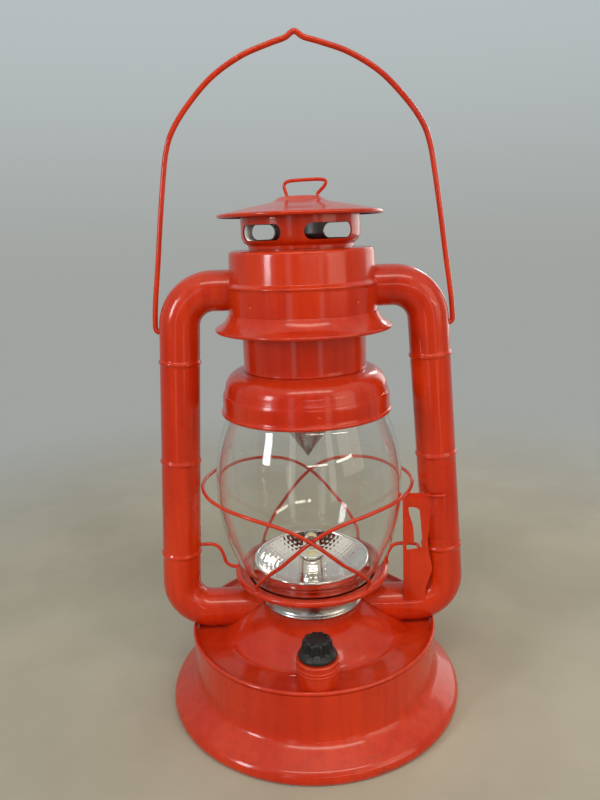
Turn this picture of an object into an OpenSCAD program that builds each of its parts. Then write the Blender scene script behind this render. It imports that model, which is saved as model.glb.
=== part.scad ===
// Battery camping lantern of the hurricane type. Millimetres, +Z up, origin at the
// bottom centre, the dimmer knob faces -Y.

/* [Base] */
// Radius of the foot
foot_r = 84; // [80:1:90]
// Radius of the upright wall
wall_r = 70.1; // [68:0.5:72]
// Height of the shoulder bead
shoulder_z = 42.1; // [41:0.5:44]
// Radius of the dome's base circle
dome_foot_r = 51; // [48:1:54]
// Height of the dome's flat top
dome_top_z = 58; // [56:0.5:59]
// Thickness of the painted sheet steel
sheet = 0.7; // [0.5:0.1:0.9]

/* [Batteries] */
// Diameter of a D cell
cell_d = 33; // [32.2:0.1:34]
// Length of a D cell with its nub
cell_len = 61.5; // [60:0.5:61.5]
// Distance between neighbouring cells
cell_pitch = 34.5; // [34.4:0.1:35]
// Width of the battery door
door_w = 105.8; // [104:0.2:106]

/* [Dimmer] */
// Sideways place of the dimmer
knob_x = 1.3; // [-3:0.1:3]
// Distance of the dimmer in front of the axis
knob_out = 58.2; // [57:0.2:59]
// Radius of the cup under the knob
boss_r = 10.65; // [10:0.1:11]
// Height of the cup's top
boss_top_z = 55.8; // [55:0.2:57]
// Radius of the knob's flange
knob_flange_r = 10; // [9:0.5:11]
// Radius of the fluted part of the knob
knob_grip_r = 7.9; // [7.5:0.1:8.5]
// Number of flutes
knob_flutes = 10; // [8:1:12]

/* [Light unit] */
// Radius of the collar on the dome
collar_r = 27.6; // [27:0.2:28]
// Radius of the dish's rolled rim
dish_rim_r = 32.3; // [31.5:0.1:32.4]
// Height of the dish's rolled rim
dish_rim_z = 82.3; // [81:0.5:84]
// Radius of the light post
post_r = 7.9; // [7.5:0.1:8.2]
// Height of the light post's top
post_top_z = 85; // [84:0.5:87]
// Height of the lens' tip
lens_tip_z = 96.5; // [92:0.5:99]

/* [Globe] */
// Radius of the globe plate's rolled edge
plate_edge_r = 42.2; // [41.5:0.1:43]
// Height of the globe plate's rolled edge
plate_edge_z = 75.4; // [75:0.2:76]
// Thickness of the glass
glass = 1.8; // [1.5:0.1:2]
// Radius of the guard wires
guard_wire_r = 1; // [0.8:0.1:1.1]

/* [Side tubes] */
// Radius of a side tube
tube_r = 10.75; // [10:0.25:11]
// Height of the upper stub's centre line
tube_top_z = 235.8; // [235:0.2:237]
// Height of the lower stub's centre line
tube_low_z = 51.5; // [51.4:0.1:52.5]
// Outward lean of the shaft, degrees
tube_lean = 3.84; // [3:0.02:4.5]
// Centre-line radius of the upper bend
upper_bend_r = 19; // [18:0.5:20]
// Centre-line radius of the lower bend
lower_bend_r = 17; // [16:0.5:18]
// Distance from the axis to the upper bend's centre
upper_bend_x = 47; // [46:0.5:48]

/* [Chamber] */
// Radius of the chamber's lower band
chamber_r = 39.4; // [39:0.1:39.6]
// Height of the chamber's flat top
chamber_top_z = 255.9; // [255:0.1:256]
// Radius of the skirt's rim
skirt_rim_r = 46.6; // [45:0.2:47]

/* [Crown] */
// Radius of the neck
neck_r = 32.8; // [32.4:0.1:32.8]
// Radius of the chimney inside the chamber
chimney_r = 26.6; // [26:0.1:26.6]
// Radius of the bell's rolled rim
bell_rim_r = 45.5; // [45.4:0.1:46]
// Height of the bell's rolled rim
bell_rim_z = 171.2; // [170.5:0.1:171.5]
// Radius of the cap's rolled rim
cap_rim_r = 41.9; // [41:0.1:43]
// Height of the cap's flat middle
cap_top_z = 282; // [281:0.5:283]

/* [Bail] */
// Radius of the bail wire
bail_wire_r = 1.4; // [1.2:0.1:1.5]
// Height of the bail's pivots
bail_pivot_z = 215; // [214:0.5:216]
// Distance of the bail's legs from the axis
bail_leg_x = 78.9; // [78.8:0.1:79.5]

/* [Hidden] */
$fn = 96;

enamel = "firebrick";
bright = "silver";
steel = "gainsboro";
plastic = "dimgray";

// ---- lines and sheet metal -------------------------------------------------------

function unit(v) = v / norm(v);
function last(p) = len(p) - 1;
function left_of(v) = [-v[1], v[0]];
function side_dir(p, i) = left_of(unit(p[i + 1] - p[i]));

// Point i of a path moved to the left by t, mitred at its corner
function mitred(p, i, t) =
  let (m = side_dir(p, max(i - 1, 0)) + side_dir(p, min(i, last(p) - 1)))
  p[i] + m * (2 * t / (m * m));

function arc_points(c, r, a0, a1, n) =
  [for (i = [0:n]) c + r * [cos(a0 + (a1 - a0) * i / n), sin(a0 + (a1 - a0) * i / n)]];

// Smooth curve through the points p, with n steps between two of them
function through(a, b, c, d, t) =
  0.5 * (2 * b + (c - a) * t + (2 * a - 5 * b + 4 * c - d) * t * t
  + (3 * b - a - 3 * c + d) * t * t * t);
function curve(p, n) = [
  for (i = [0:last(p) - 1], k = [0:n - 1])
    through(p[max(i - 1, 0)], p[i], p[i + 1], p[min(i + 2, last(p))], k / n),
  p[last(p)]
];

// Ring of sheet metal: a path of [radius, height] points with its wall on the left
module sheet_ring(p, t = sheet) {
  rotate_extrude()
    polygon(concat(p, [for (i = [last(p):-1:0]) mitred(p, i, t)]));
}

module bead(r, z, wire_r) {
  translate([0, 0, z])
    rotate_extrude()
      translate([r, 0])
        circle(r = wire_r);
}

module pipe(r_out, r_in, z0, z1) {
  difference() {
    translate([0, 0, z0])
      cylinder(r = r_out, h = z1 - z0);
    translate([0, 0, z0 - 1])
      cylinder(r = r_in, h = z1 - z0 + 2);
  }
}

// ---- wires ---------------------------------------------------------------------------

function heading(p, i) = unit(p[min(i + 1, last(p))] - p[max(i - 1, 0)]);
function squared(v, h) = unit(v - h * (v * h));
function side_vectors(p, ref) = [
  for (i = 0, s = squared(ref, heading(p, 0)); i < len(p);
       i = i + 1, s = i < len(p) ? squared(s, heading(p, i)) : s) s
];

// Round wire along the points p; ref is any direction across its start
module wire(p, r, ref, sides = 8) {
  s = side_vectors(p, ref);
  rings = [
    for (i = [0:last(p)])
      let (u = s[i], v = cross(heading(p, i), u))
      for (k = [0:sides - 1])
        p[i] + r * (cos(360 * k / sides) * u + sin(360 * k / sides) * v)
  ];
  first_cap = [for (k = [0:sides - 1]) k];
  last_cap = [for (k = [sides - 1:-1:0]) last(p) * sides + k];
  walls = [
    for (i = [0:last(p) - 1], k = [0:sides - 1])
      let (a = i * sides + k, b = i * sides + (k + 1) % sides)
      [a, a + sides, b + sides, b]
  ];
  polyhedron(points = rings, faces = concat([first_cap, last_cap], walls), convexity = 6);
}

function helix(r0, r1, z0, z1, turns, steps) = [
  for (i = [0:steps])
    let (f = i / steps, r = r0 + (r1 - r0) * f, a = 360 * turns * f)
    [r * cos(a), r * sin(a), z0 + (z1 - z0) * f]
];

// ---- base ----------------------------------------------------------------------------

foot_lip_z = 0.5;
foot_sheet = 0.8;
annulus_z = 40.6;
shoulder_bead_r = 1.15;
dome_flat_r = 29.5;
dome_hole_r = 22;
// Centre height and radius of the sphere through the dome's base circle and flat top
dome_foot_z = annulus_z + 0.7;
dome_centre_z = (dome_top_z * dome_top_z - dome_foot_z * dome_foot_z
  + dome_flat_r * dome_flat_r - dome_foot_r * dome_foot_r)
  / (2 * (dome_top_z - dome_foot_z));
dome_ball_r = norm([dome_foot_r, dome_foot_z - dome_centre_z]);
dome_foot_a = atan2(dome_foot_z - dome_centre_z, dome_foot_r);
dome_flat_a = atan2(dome_top_z - dome_centre_z, dome_flat_r);

foot_path = concat(
  [[foot_r - 4.5, foot_lip_z], [foot_r - 1.6, foot_lip_z]],
  [[foot_r - 0.4, foot_lip_z + 0.5], [foot_r, foot_lip_z + 1.6]],
  [[foot_r, 3.4], [foot_r - 0.5, 5.2], [foot_r - 1.6, 6.9], [foot_r - 3.2, 8]],
  [[wall_r + 1.3, 14.4], [wall_r + 0.5, 15.4], [wall_r + 0.2, 16.8], [wall_r + 0.2, 17.5]]
);
dome_path = concat(
  [[wall_r - 1.5, shoulder_z - 0.4], [wall_r - 2.4, annulus_z]],
  [[dome_foot_r + 0.8, annulus_z]],
  arc_points([0, dome_centre_z], dome_ball_r, dome_foot_a, dome_flat_a, 8),
  [[dome_hole_r, dome_top_z]]
);

module dome_bead() {
  bead(wall_r - 0.7, shoulder_z, shoulder_bead_r);
}

// Filled form under the dome's outer face, to cut what stands on it
module dome_form() {
  rotate_extrude()
    polygon(concat(
      dome_path,
      [[0, dome_top_z], [0, 20], [wall_r + 2, 20], [wall_r + 2, shoulder_z - 1.2]]
    ));
  dome_bead();
}

module at_knob() {
  translate([knob_x, -knob_out, 0])
    children();
}

module base_shell() {
  color(enamel)
    pipe(wall_r + 0.2, wall_r + 0.2 - foot_sheet, 17.5, shoulder_z - 1.2);
}

module base_foot() {
  color(enamel) sheet_ring(foot_path, foot_sheet);
}

boss_hole_r = 8.9;

module fount_dome() {
  color(enamel)
    difference() {
      union() {
        sheet_ring(dome_path, foot_sheet);
        dome_bead();
      }
      at_knob()
        translate([0, 0, 30])
          cylinder(r = boss_hole_r, h = 30);
    }
}

plate_low_z = 1.7;
plate_high_z = 3.7;
foot_ring_out = foot_r - 5.5;
foot_ring_in = foot_r - 10.5;
tray_in_x = door_w / 2 + 0.3;
tray_in_y = 34.6;
tray_wall = 1.6;
tray_roof_z = 38.3;
lug_x = 40;
lug_y = 39.6;
lug_r = 4;
hinge_x = 22;
hinge_y = 38.2;
hinge_z = 2.7;
hinge_pin_r = 0.75;
hinge_barrel_r = 1.6;
hinge_half_w = 6;
ear_w = 3;
tab_half_w = 8;
tab_y = -40;
gap = 0.3;

module at_lugs() {
  for (sx = [-1, 1], sy = [-1, 1])
    translate([sx * lug_x, sy * lug_y, 0])
      children();
}

module hinge_bar(r, x0, x1) {
  translate([x0, hinge_y, hinge_z])
    rotate([0, 90, 0])
      cylinder(r = r, h = x1 - x0);
}

module base_plate() {
  color(plastic)
    difference() {
      union() {
        translate([0, 0, plate_low_z])
          cylinder(r = foot_r - 2.7, h = plate_high_z - plate_low_z);
        pipe(foot_ring_out, foot_ring_in, 0, plate_low_z + 0.1);
        for (sx = [-1, 1], side = [-1, 1])
          translate([
            sx * hinge_x + side * (hinge_half_w + gap + ear_w / 2) - ear_w / 2,
            hinge_y - 1.8,
            hinge_z - hinge_barrel_r
          ])
            cube([ear_w, 3.6, 2 * hinge_barrel_r]);
      }
      translate([-tray_in_x, -tray_in_y, 0])
        cube([2 * tray_in_x, 2 * tray_in_y, 10]);
      for (sx = [-1, 1])
        translate([sx * hinge_x - hinge_half_w - gap, tray_in_y - 1, 0])
          cube([2 * (hinge_half_w + gap), hinge_y + 2 - tray_in_y + 1, 10]);
      translate([-tab_half_w - gap, tab_y - 5, 0])
        cube([2 * (tab_half_w + gap), 12, 10]);
      for (sx = [-1, 1])
        hinge_bar(hinge_pin_r, sx * hinge_x - 10, sx * hinge_x + 10);
      at_lugs()
        cylinder(r = 1.8, h = 10);
    }
}

module base_screws() {
  color(steel)
    at_lugs()
      difference() {
        union() {
          translate([0, 0, 0.4])
            cylinder(r = 3.1, h = plate_low_z - 0.4);
          translate([0, 0, plate_low_z])
            cylinder(r = 1.25, h = 9.5);
        }
        translate([-0.5, -2.4, 0])
          cube([1, 4.8, 1]);
        translate([-2.4, -0.5, 0])
          cube([4.8, 1, 1]);
      }
}

module battery_tray() {
  out_x = tray_in_x + tray_wall;
  out_y = tray_in_y + tray_wall;
  color(plastic)
    difference() {
      union() {
        translate([-out_x, -out_y, plate_high_z])
          cube([2 * out_x, 2 * out_y, tray_roof_z + 1.2 - plate_high_z]);
        at_lugs()
          translate([0, 0, plate_high_z])
            cylinder(r = lug_r, h = 12);
        translate([0, tab_y, plate_high_z])
          cylinder(r = lug_r, h = 9);
      }
      difference() {
        translate([-tray_in_x, -tray_in_y, 0])
          cube([2 * tray_in_x, 2 * tray_in_y, tray_roof_z]);
        for (sx = [-1, 1])
          translate([sx * cell_pitch / 2 - 1, -25, 31])
            cube([2, 50, 20]);
      }
      at_lugs()
        translate([0, 0, 0])
          cylinder(r = 1.25, h = 13.5);
      translate([0, tab_y, 0])
        cylinder(r = 2.1, h = 10.5);
      translate([-8, 0, 30])
        cylinder(r = 2, h = 20);
    }
}

cell_z = tray_roof_z - 0.2 - cell_d / 2;
cell_nub = 1.8;
spring_len = 4.6;

// A cell's own frame: along +Y, nub at the +Y end, cells alternate
module at_cell(i) {
  flip = i == 0 ? 1 : -1;
  translate([i * cell_pitch, 0, cell_z])
    mirror([0, flip < 0 ? 1 : 0, 0])
      children();
}

cell_tail_y = -tray_in_y + 0.8 + spring_len;

module battery(i) {
  color("goldenrod")
    at_cell(i)
      rotate([-90, 0, 0]) {
        translate([0, 0, cell_tail_y])
          cylinder(d = cell_d, h = cell_len - cell_nub);
        translate([0, 0, cell_tail_y])
          cylinder(r = 4.7, h = cell_len);
      }
}

module contact_springs() {
  color(bright)
    for (i = [-1:1])
      at_cell(i)
        translate([0, -tray_in_y + 0.8, 0])
          rotate([-90, 0, 0])
            wire(helix(8, 4.5, 0.5, spring_len - 0.5, 2.5, 36), 0.5, [1, 0, 0], 6);
}

module contact_plates() {
  color(bright)
    for (i = [-1:1], side = [-1, 1])
      translate([i * cell_pitch - 10, side * (tray_in_y - 0.4) - 0.35, cell_z - 11])
        cube([20, 0.7, 22]);
}

module door_hinge_pins() {
  color(steel)
    for (sx = [-1, 1])
      hinge_bar(hinge_pin_r, sx * hinge_x - hinge_half_w - gap - ear_w,
        sx * hinge_x + hinge_half_w + gap + ear_w);
}

module battery_door() {
  door_l = 2 * tray_in_y - 2 * gap;
  color(plastic)
    difference() {
      union() {
        translate([-door_w / 2, -door_l / 2, plate_low_z])
          cube([door_w, door_l, 1.8]);
        for (sx = [-1, 1]) {
          translate([sx * cell_pitch / 2 - 0.8, -28, plate_low_z])
            cube([1.6, 56, 4]);
          translate([sx * hinge_x - hinge_half_w, door_l / 2 - 1, plate_low_z + 0.2])
            cube([2 * hinge_half_w, hinge_y - door_l / 2 + 1, 1.6]);
          hinge_bar(hinge_barrel_r, sx * hinge_x - hinge_half_w, sx * hinge_x + hinge_half_w);
        }
        translate([-tab_half_w, tab_y - 4.5, plate_low_z])
          cube([2 * tab_half_w, 12, 1.8]);
      }
      for (sx = [-1, 1])
        hinge_bar(hinge_pin_r + 0.05, sx * hinge_x - 10, sx * hinge_x + 10);
      translate([0, tab_y, 0])
        cylinder(r = 1.5, h = 10);
      for (i = [-4:4])
        translate([i * 5 - 0.8, 18, plate_low_z - 1])
          cube([1.6, 10, 1.5]);
    }
}

module door_screw() {
  color(steel)
    difference() {
      union() {
        translate([0, tab_y, 0.5])
          cylinder(r = 3.3, h = plate_low_z - 0.5);
        translate([0, tab_y, plate_low_z])
          cylinder(r = 1.5, h = 7.5);
      }
      translate([-4, tab_y - 0.6, 0])
        cube([8, 1.2, 1.1]);
    }
}

// ---- dimmer --------------------------------------------------------------------------

shaft_r = 3;
bush_r = 3.5;
boss_wall = 1;
dimmer_top_z = boss_top_z - boss_wall - 0.05;
knob_low_z = boss_top_z + 0.6;
knob_flange_z = knob_low_z + 3.4;
flute_cut_r = 2.1;
flute_cut_out = 1.3; // how far the flute's centre lies outside the grip
knob_top_z = 66;

module knob_boss() {
  color(enamel)
    difference() {
      at_knob()
        union() {
          sheet_ring([
            [boss_r, 36], [boss_r, boss_top_z - 2], [boss_r + 0.5, boss_top_z - 1.6],
            [boss_r + 0.5, boss_top_z - 0.7], [boss_r - 0.4, boss_top_z],
            [bush_r + 0.1, boss_top_z]
          ], boss_wall);
          bead(boss_r - 0.1, boss_top_z - 4, 0.5);
          bead(boss_r - 0.1, boss_top_z - 5.8, 0.5);
        }
      dome_form();
    }
}

dimmer_body_r = 8.2;
dimmer_body_h = 9.4;
bush_h = 3.8;

module dimmer() {
  color(plastic)
    at_knob()
      difference() {
        union() {
          translate([0, 0, dimmer_top_z - dimmer_body_h])
            cylinder(r = dimmer_body_r, h = dimmer_body_h);
          translate([0, 0, dimmer_top_z])
            cylinder(r = bush_r, h = bush_h);
          for (i = [-1:1])
            translate([i * 4 - 0.6, 4, dimmer_top_z - 13.5])
              cube([1.2, 0.6, 5]);
        }
        translate([0, 0, dimmer_top_z - 8])
          cylinder(r = shaft_r + 0.05, h = 20);
      }
}

module dimmer_nut() {
  color(steel)
    at_knob()
      difference() {
        translate([0, 0, boss_top_z])
          cylinder(r = 5.6, h = 2, $fn = 6);
        cylinder(r = bush_r, h = 80);
      }
}

module dimmer_shaft() {
  color(steel)
    at_knob()
      translate([0, 0, dimmer_top_z - 7.8])
        cylinder(r = shaft_r, h = knob_top_z - 1.8 - dimmer_top_z + 7.8);
}

module knob() {
  color("#222222")
    at_knob()
      difference() {
        rotate_extrude()
          polygon(concat(
            [[0, knob_low_z], [knob_flange_r - 0.5, knob_low_z]],
            [[knob_flange_r, knob_low_z + 0.5], [knob_flange_r - 0.1, knob_low_z + 1.4]],
            [[knob_grip_r + 0.3, knob_flange_z], [knob_grip_r - 0.3, knob_top_z - 2.4]],
            arc_points([knob_grip_r - 3, knob_top_z - 2.7], 2.7, 8, 90, 5),
            [[0, knob_top_z]]
          ));
        translate([0, 0, knob_low_z - 1])
          cylinder(r = 7, h = 3.6);
        translate([0, 0, knob_low_z])
          cylinder(r = shaft_r, h = knob_top_z - 1.8 - knob_low_z);
        for (i = [0:knob_flutes - 1])
          rotate([0, 0, (i + 0.5) * 360 / knob_flutes])
            translate([knob_grip_r + flute_cut_out, 0, knob_flange_z + 0.3])
              cylinder(r = flute_cut_r, h = 10);
      }
}

// ---- light unit ----------------------------------------------------------------------

collar_top_z = 71.3;
holder_z = dome_top_z + 0.7;

module collar() {
  color(bright)
    sheet_ring([
      [dome_hole_r + 0.5, dome_top_z + 0.05], [collar_r + 1.5, dome_top_z + 0.05],
      [collar_r + 1.7, dome_top_z + 0.9], [collar_r + 0.4, dome_top_z + 2.2],
      [collar_r, dome_top_z + 4], [collar_r, collar_top_z]
    ], 0.6);
}

module lamp_holder() {
  color(plastic)
    difference() {
      union() {
        translate([0, 0, holder_z])
          cylinder(r = collar_r - 0.9, h = 2);
        translate([0, 0, holder_z])
          cylinder(r = post_r - 0.65, h = 8);
        for (i = [0:3])
          rotate([0, 0, 45 + 90 * i])
            translate([post_r + 2.3, -1, holder_z])
              cube([12.8, 2, 6]);
      }
      cylinder(r = 3.5, h = 100);
    }
}

// Concave bowl from the post out to the rolled rim
function bowl_z(r) = 72.9 + 9.3 * pow((r - post_r) / (dish_rim_r - 0.8 - post_r), 2);

module reflector_dish() {
  rim = dish_rim_r - 0.8;
  color(bright) {
    sheet_ring([
      [collar_r + 0.1, collar_top_z + 0.1], [collar_r + 1.4, collar_top_z + 3.2],
      [dish_rim_r - 0.4, dish_rim_z - 0.4]
    ], 0.5);
    bead(dish_rim_r, dish_rim_z, 0.9);
    sheet_ring([
      for (i = [0:8])
        let (r = rim + (post_r + 0.1 - rim) * i / 8)
        [r, bowl_z(r)]
    ], 0.5);
  }
}

module led_post() {
  color(bright) {
    pipe(post_r, post_r - 0.6, holder_z + 2, post_top_z);
    pipe(post_r + 2, post_r - 0.6, holder_z + 2, holder_z + 2.6);
  }
}

board_z = post_top_z - 2.2;

module led_board() {
  color("seagreen")
    translate([0, 0, board_z])
      cylinder(r = post_r - 0.65, h = 1.4);
}

module led_chip() {
  color("khaki") {
    translate([-1.9, -1.9, board_z + 1.4])
      cube([3.8, 3.8, 0.7]);
    translate([0, 0, board_z + 2])
      cylinder(r = 1.4, h = 0.5);
  }
}

module led_lens() {
  color("lightcyan", 0.5)
    difference() {
      rotate_extrude()
        polygon(concat(
          [[0, board_z + 1.4], [post_r - 0.65, board_z + 1.4], [post_r - 0.65, post_top_z + 0.4]],
          [[5.4, post_top_z + 0.6], [5, post_top_z + 4]],
          [for (a = [20:14:90]) [4.6 * cos(a), lens_tip_z - 6 + 6 * sin(a)]],
          [[0, lens_tip_z]]
        ));
      translate([0, 0, board_z])
        cylinder(r = 2.9, h = 4.4);
    }
}

module lamp_leads() {
  color("crimson")
    wire(curve([
      [2, 0, board_z - 0.1], [2, 0, 74], [2, 0, 62], [2.2, -3, 50], [2, -20, 47],
      [1.5, -38, 45.5], [knob_x, -47, 41.6], [knob_x, -52, 40.6], [knob_x, -53.4, 41.2]
    ], 3), 0.7, [1, 0, 0], 6);
  color("black")
    wire(curve([
      [-2, 0, board_z - 0.1], [-2, 0, 74], [-2, 0, 62], [-3, 0, 52], [-7, 0, 45],
      [-8, 0, 40], [-8, 0, tray_roof_z + 0.3]
    ], 3), 0.7, [0, 1, 0], 6);
}

// ---- side tubes ----------------------------------------------------------------------

upper_bend_z = tube_top_z - upper_bend_r;
lower_bend_z = tube_low_z + lower_bend_r;
lower_bend_x = upper_bend_x
  + ((upper_bend_z - lower_bend_z) * sin(tube_lean) + upper_bend_r - lower_bend_r)
  / cos(tube_lean);
lean_dir = [cos(tube_lean), sin(tube_lean)];
shaft_low = [lower_bend_x, lower_bend_z] + lower_bend_r * lean_dir;
shaft_high = [upper_bend_x, upper_bend_z] + upper_bend_r * lean_dir;
shaft_len = norm(shaft_high - shaft_low);
tube_bead_z = [198.5, 143, 88];
// A tube loses a little of its radius where it is bent
bend_squeeze = 0.05;
// Straight stretches reach this far into the bends
bend_lap = 0.5;
lift_height = 10;
wire_hole_z = 91.5;

// Frame of the right tube's shaft: along +Z from its lower end
module on_shaft() {
  translate([shaft_low[0], 0, shaft_low[1]])
    rotate([0, -tube_lean, 0])
      children();
}

module bend(x, z, bend_r, a0, a1, r) {
  translate([x, 0, z])
    rotate([90, 0, 0])
      rotate([0, 0, a0])
        rotate_extrude(angle = a1 - a0)
          translate([bend_r, 0])
            circle(r = r);
}

module tube_form(r) {
  translate([30, 0, tube_top_z])
    rotate([0, 90, 0])
      cylinder(r = r, h = upper_bend_x + bend_lap - 30);
  bend(upper_bend_x, upper_bend_z, upper_bend_r, tube_lean, 90, r - bend_squeeze);
  on_shaft()
    translate([0, 0, -bend_lap])
      cylinder(r = r, h = shaft_len + 2 * bend_lap);
  bend(lower_bend_x, lower_bend_z, lower_bend_r, -90, tube_lean, r - bend_squeeze);
  translate([24, 0, tube_low_z])
    rotate([0, 90, 0])
      cylinder(r = r, h = lower_bend_x + bend_lap - 24);
}

module side_tube() {
  color(enamel)
    difference() {
      union() {
        tube_form(tube_r);
        on_shaft()
          for (z = tube_bead_z)
            bead(tube_r - 0.1, (z - shaft_low[1]) / cos(tube_lean), 0.8);
      }
      tube_form(tube_r - sheet);
      chamber_form();
      dome_form();
      cylinder(r = collar_r + 1.9, h = 100);
      translate([70, 0, bail_pivot_z])
        rotate([0, 90, 0])
          cylinder(r = bail_wire_r + 0.12, h = 20);
    }
}

module tube_left() {
  color(enamel)
    difference() {
      mirror([1, 0, 0])
        side_tube();
      translate([-71, -1.4, wire_hole_z - 1.4])
        cube([12, 2.8, lift_height + 2.8]);
    }
}

module tube_right() {
  side_tube();
}

lever_y = -9.6;
lever_t = 0.9;

module lever_plate() {
  outline = [
    [51.2, 122], [53, 122.6], [66.4, 122], [66.2, 100], [65.2, 94.4], [66, 87.3],
    [68.2, 76.7], [66.4, 70], [64.6, 66], [64, 57], [51.9, 57], [51.5, 90]
  ];
  slot = [
    [54.4, 114.4], [58.8, 113.8], [60.7, 112.4], [62.2, 96], [62.2, 89.4],
    [53.6, 88.4], [53.4, 92.2], [57.8, 93.2], [57.2, 103], [55, 110]
  ];
  color(enamel) {
    difference() {
      translate([0, lever_y + lever_t, 0])
        rotate([90, 0, 0])
          linear_extrude(height = lever_t)
            difference() {
              polygon(outline);
              polygon(slot);
            }
      tube_form(tube_r);
    }
    on_shaft()
      translate([0, 0, (96 - shaft_low[1]) / cos(tube_lean)])
        rotate([0, 0, 226])
          rotate_extrude(angle = 52)
            translate([tube_r + 0.02, 0])
              square([lever_t, 25.8]);
  }
}

// ---- upper chamber -------------------------------------------------------------------

chamber_bead_z = 238;
chamber_path = concat(
  [[chamber_r, 224.2], [chamber_r, chamber_bead_z - 0.8], [chamber_r - 1.1, chamber_bead_z + 1.2]],
  [[chamber_r - 1.7, chamber_top_z - 2.2]],
  arc_points([chamber_r - 3.7, chamber_top_z - 2], 2, 15, 90, 4),
  [[chimney_r + 0.4, chamber_top_z]]
);

module chamber_form() {
  rotate_extrude()
    polygon(concat([[0, 224.2]], chamber_path, [[0, chamber_top_z]]));
  bead(chamber_r - 0.3, chamber_bead_z, 0.9);
}

module air_chamber() {
  color(enamel) {
    sheet_ring(chamber_path);
    bead(chamber_r - 0.3, chamber_bead_z, 0.9);
  }
}

skirt_collar_r = chamber_r - sheet - 0.05;

module chamber_skirt() {
  color(enamel) {
    sheet_ring([
      [skirt_rim_r, 215.8], [skirt_rim_r - 4, 219], [chamber_r + 0.2, 223.2],
      [skirt_collar_r, 224.1], [skirt_collar_r, 229.5]
    ]);
    bead(skirt_rim_r, 215.5, 1);
  }
}

module chimney_guide() {
  color(bright)
    sheet_ring([
      [neck_r + 0.35, 218.8], [neck_r + 0.35, 223.2], [neck_r + 1.6, 224.8],
      [skirt_collar_r - sheet - 0.05, 225.2]
    ], -sheet);
}

neck_top_z = 226;

module chimney_spring() {
  color(bright)
    wire(helix(30, 30, neck_top_z + 0.9, chamber_top_z - sheet - 0.9, 4, 96),
      0.8, [1, 0, 0], 6);
}

// ---- globe and its carrier -------------------------------------------------------------

globe_low_z = 74.6;
globe_path = curve([
  [35.9, globe_low_z], [37, 78], [42.6, 85.2], [48.3, 101], [51.2, 117], [51.7, 127],
  [51.1, 139], [49.4, 150.5], [46.4, 161], [44, 168.5], [43.1, 175], [43, 181.6]
], 3);

module globe() {
  color("lightcyan", 0.35) sheet_ring(globe_path, glass);
}

module globe_plate() {
  color(enamel) {
    bead(plate_edge_r, plate_edge_z, 1.8);
    sheet_ring([
      [plate_edge_r - 1.4, plate_edge_z], [37.6, globe_low_z - 0.1],
      [33.9, globe_low_z - 0.1]
    ]);
  }
}

// Half of a guard wire, from above the plate's edge round the front to its far side
guard_half = [
  [29.7, -34.3, 84], [23.7, -42.2, 92.5], [17, -48, 99.5], [11, -51.6, 106],
  [5.5, -53.5, 111.5], [0, -54.4, 116], [-5.2, -54.6, 119.5], [-10.8, -54.3, 122.3],
  [-18, -52.8, 124.8], [-26.5, -49.8, 126.5], [-35, -45.2, 127.8], [-44.5, -37.3, 128.6],
  [-53, -25, 128.9], [-58, -11, 129]
];
guard_middle = [-59.4, 0, 129];
guard_points = concat(guard_half, [guard_middle],
  [for (i = [last(guard_half):-1:0]) [guard_half[i][0], -guard_half[i][1], guard_half[i][2]]]);
// Its foot stands straight up from the top of the plate's rolled edge
guard_foot_z = plate_edge_z + 1.8;
guard_foot_x = 30;
guard_foot_y = sqrt(plate_edge_r * plate_edge_r - guard_foot_x * guard_foot_x);
function guard_foot(sx, sy) = [
  for (up = [0, 0.4, 0.8, 2]) [sx * guard_foot_x, sy * (guard_foot_y + 0.2 * max(up - 0.8, 0)), guard_foot_z + up]
];
function reversed(p) = [for (i = [last(p):-1:0]) p[i]];

// The right wire passes inside the left one where they cross
inner_share = 0.964;

module guard_wire_left() {
  color(enamel)
    wire(curve(concat(
      guard_foot(1, -1), guard_points, reversed(guard_foot(1, 1))
    ), 2), guard_wire_r, [1, 0, 0]);
}

module guard_wire_right() {
  color(enamel)
    wire(curve(concat(
      guard_foot(-1, -1),
      [for (p = guard_points) [-p[0] * inner_share, p[1] * inner_share, p[2] - 0.7]],
      reversed(guard_foot(-1, 1))
    ), 2), guard_wire_r, [1, 0, 0]);
}

module pivot_wire() {
  color(enamel)
    wire(curve([
      [-plate_edge_r - 1.4, 0, 77], [-46.9, 0, 77.6], [-49.6, 0, 80.1], [-50.8, 0, 84.4],
      [-52.9, 0, 89.1], [-56.6, 0, 91.3], [-62, 0, wire_hole_z], [-68, 0, wire_hole_z]
    ], 4), guard_wire_r, [0, 1, 0]);
}

module lift_wire() {
  color(enamel)
    wire(curve([
      [plate_edge_r + 1, -0.5, 77.6], [43.3, -1.4, 81.5], [44.6, -2.3, 85.4],
      [46.6, -3.6, 88.9], [49.8, -5, 90.6], [54, -6, 91], [57.8, -6.6, 91],
      [59.7, -8.4, 91], [60, -13, 91]
    ], 4), guard_wire_r, [0, 0, 1]);
}

// ---- crown ---------------------------------------------------------------------------

bell_arc_c = [33.4, 183.2];
bell_arc_r = 10.3;
bell_collar_r = neck_r - sheet - 0.05;

module bell() {
  color(enamel) {
    sheet_ring(concat(
      [[bell_rim_r, bell_rim_z], [bell_rim_r - 0.6, bell_rim_z + 1.2]],
      [[bell_rim_r - 0.2, bell_rim_z + 5.5], [bell_rim_r - 0.9, bell_rim_z + 10.2]],
      arc_points(bell_arc_c, bell_arc_r, 4, 88, 9),
      [[bell_collar_r, 193.8], [bell_collar_r, 199]]
    ));
    bead(bell_rim_r - 0.4, bell_rim_z, 1.2);
  }
}

module neck() {
  color(enamel)
    sheet_ring([
      [neck_r, 193.9], [neck_r, neck_top_z - 0.8], [neck_r - 0.8, neck_top_z],
      [chimney_r, neck_top_z]
    ]);
}

vent_low_z = 256.6;
vent_r = chimney_r + 4.1;

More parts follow.
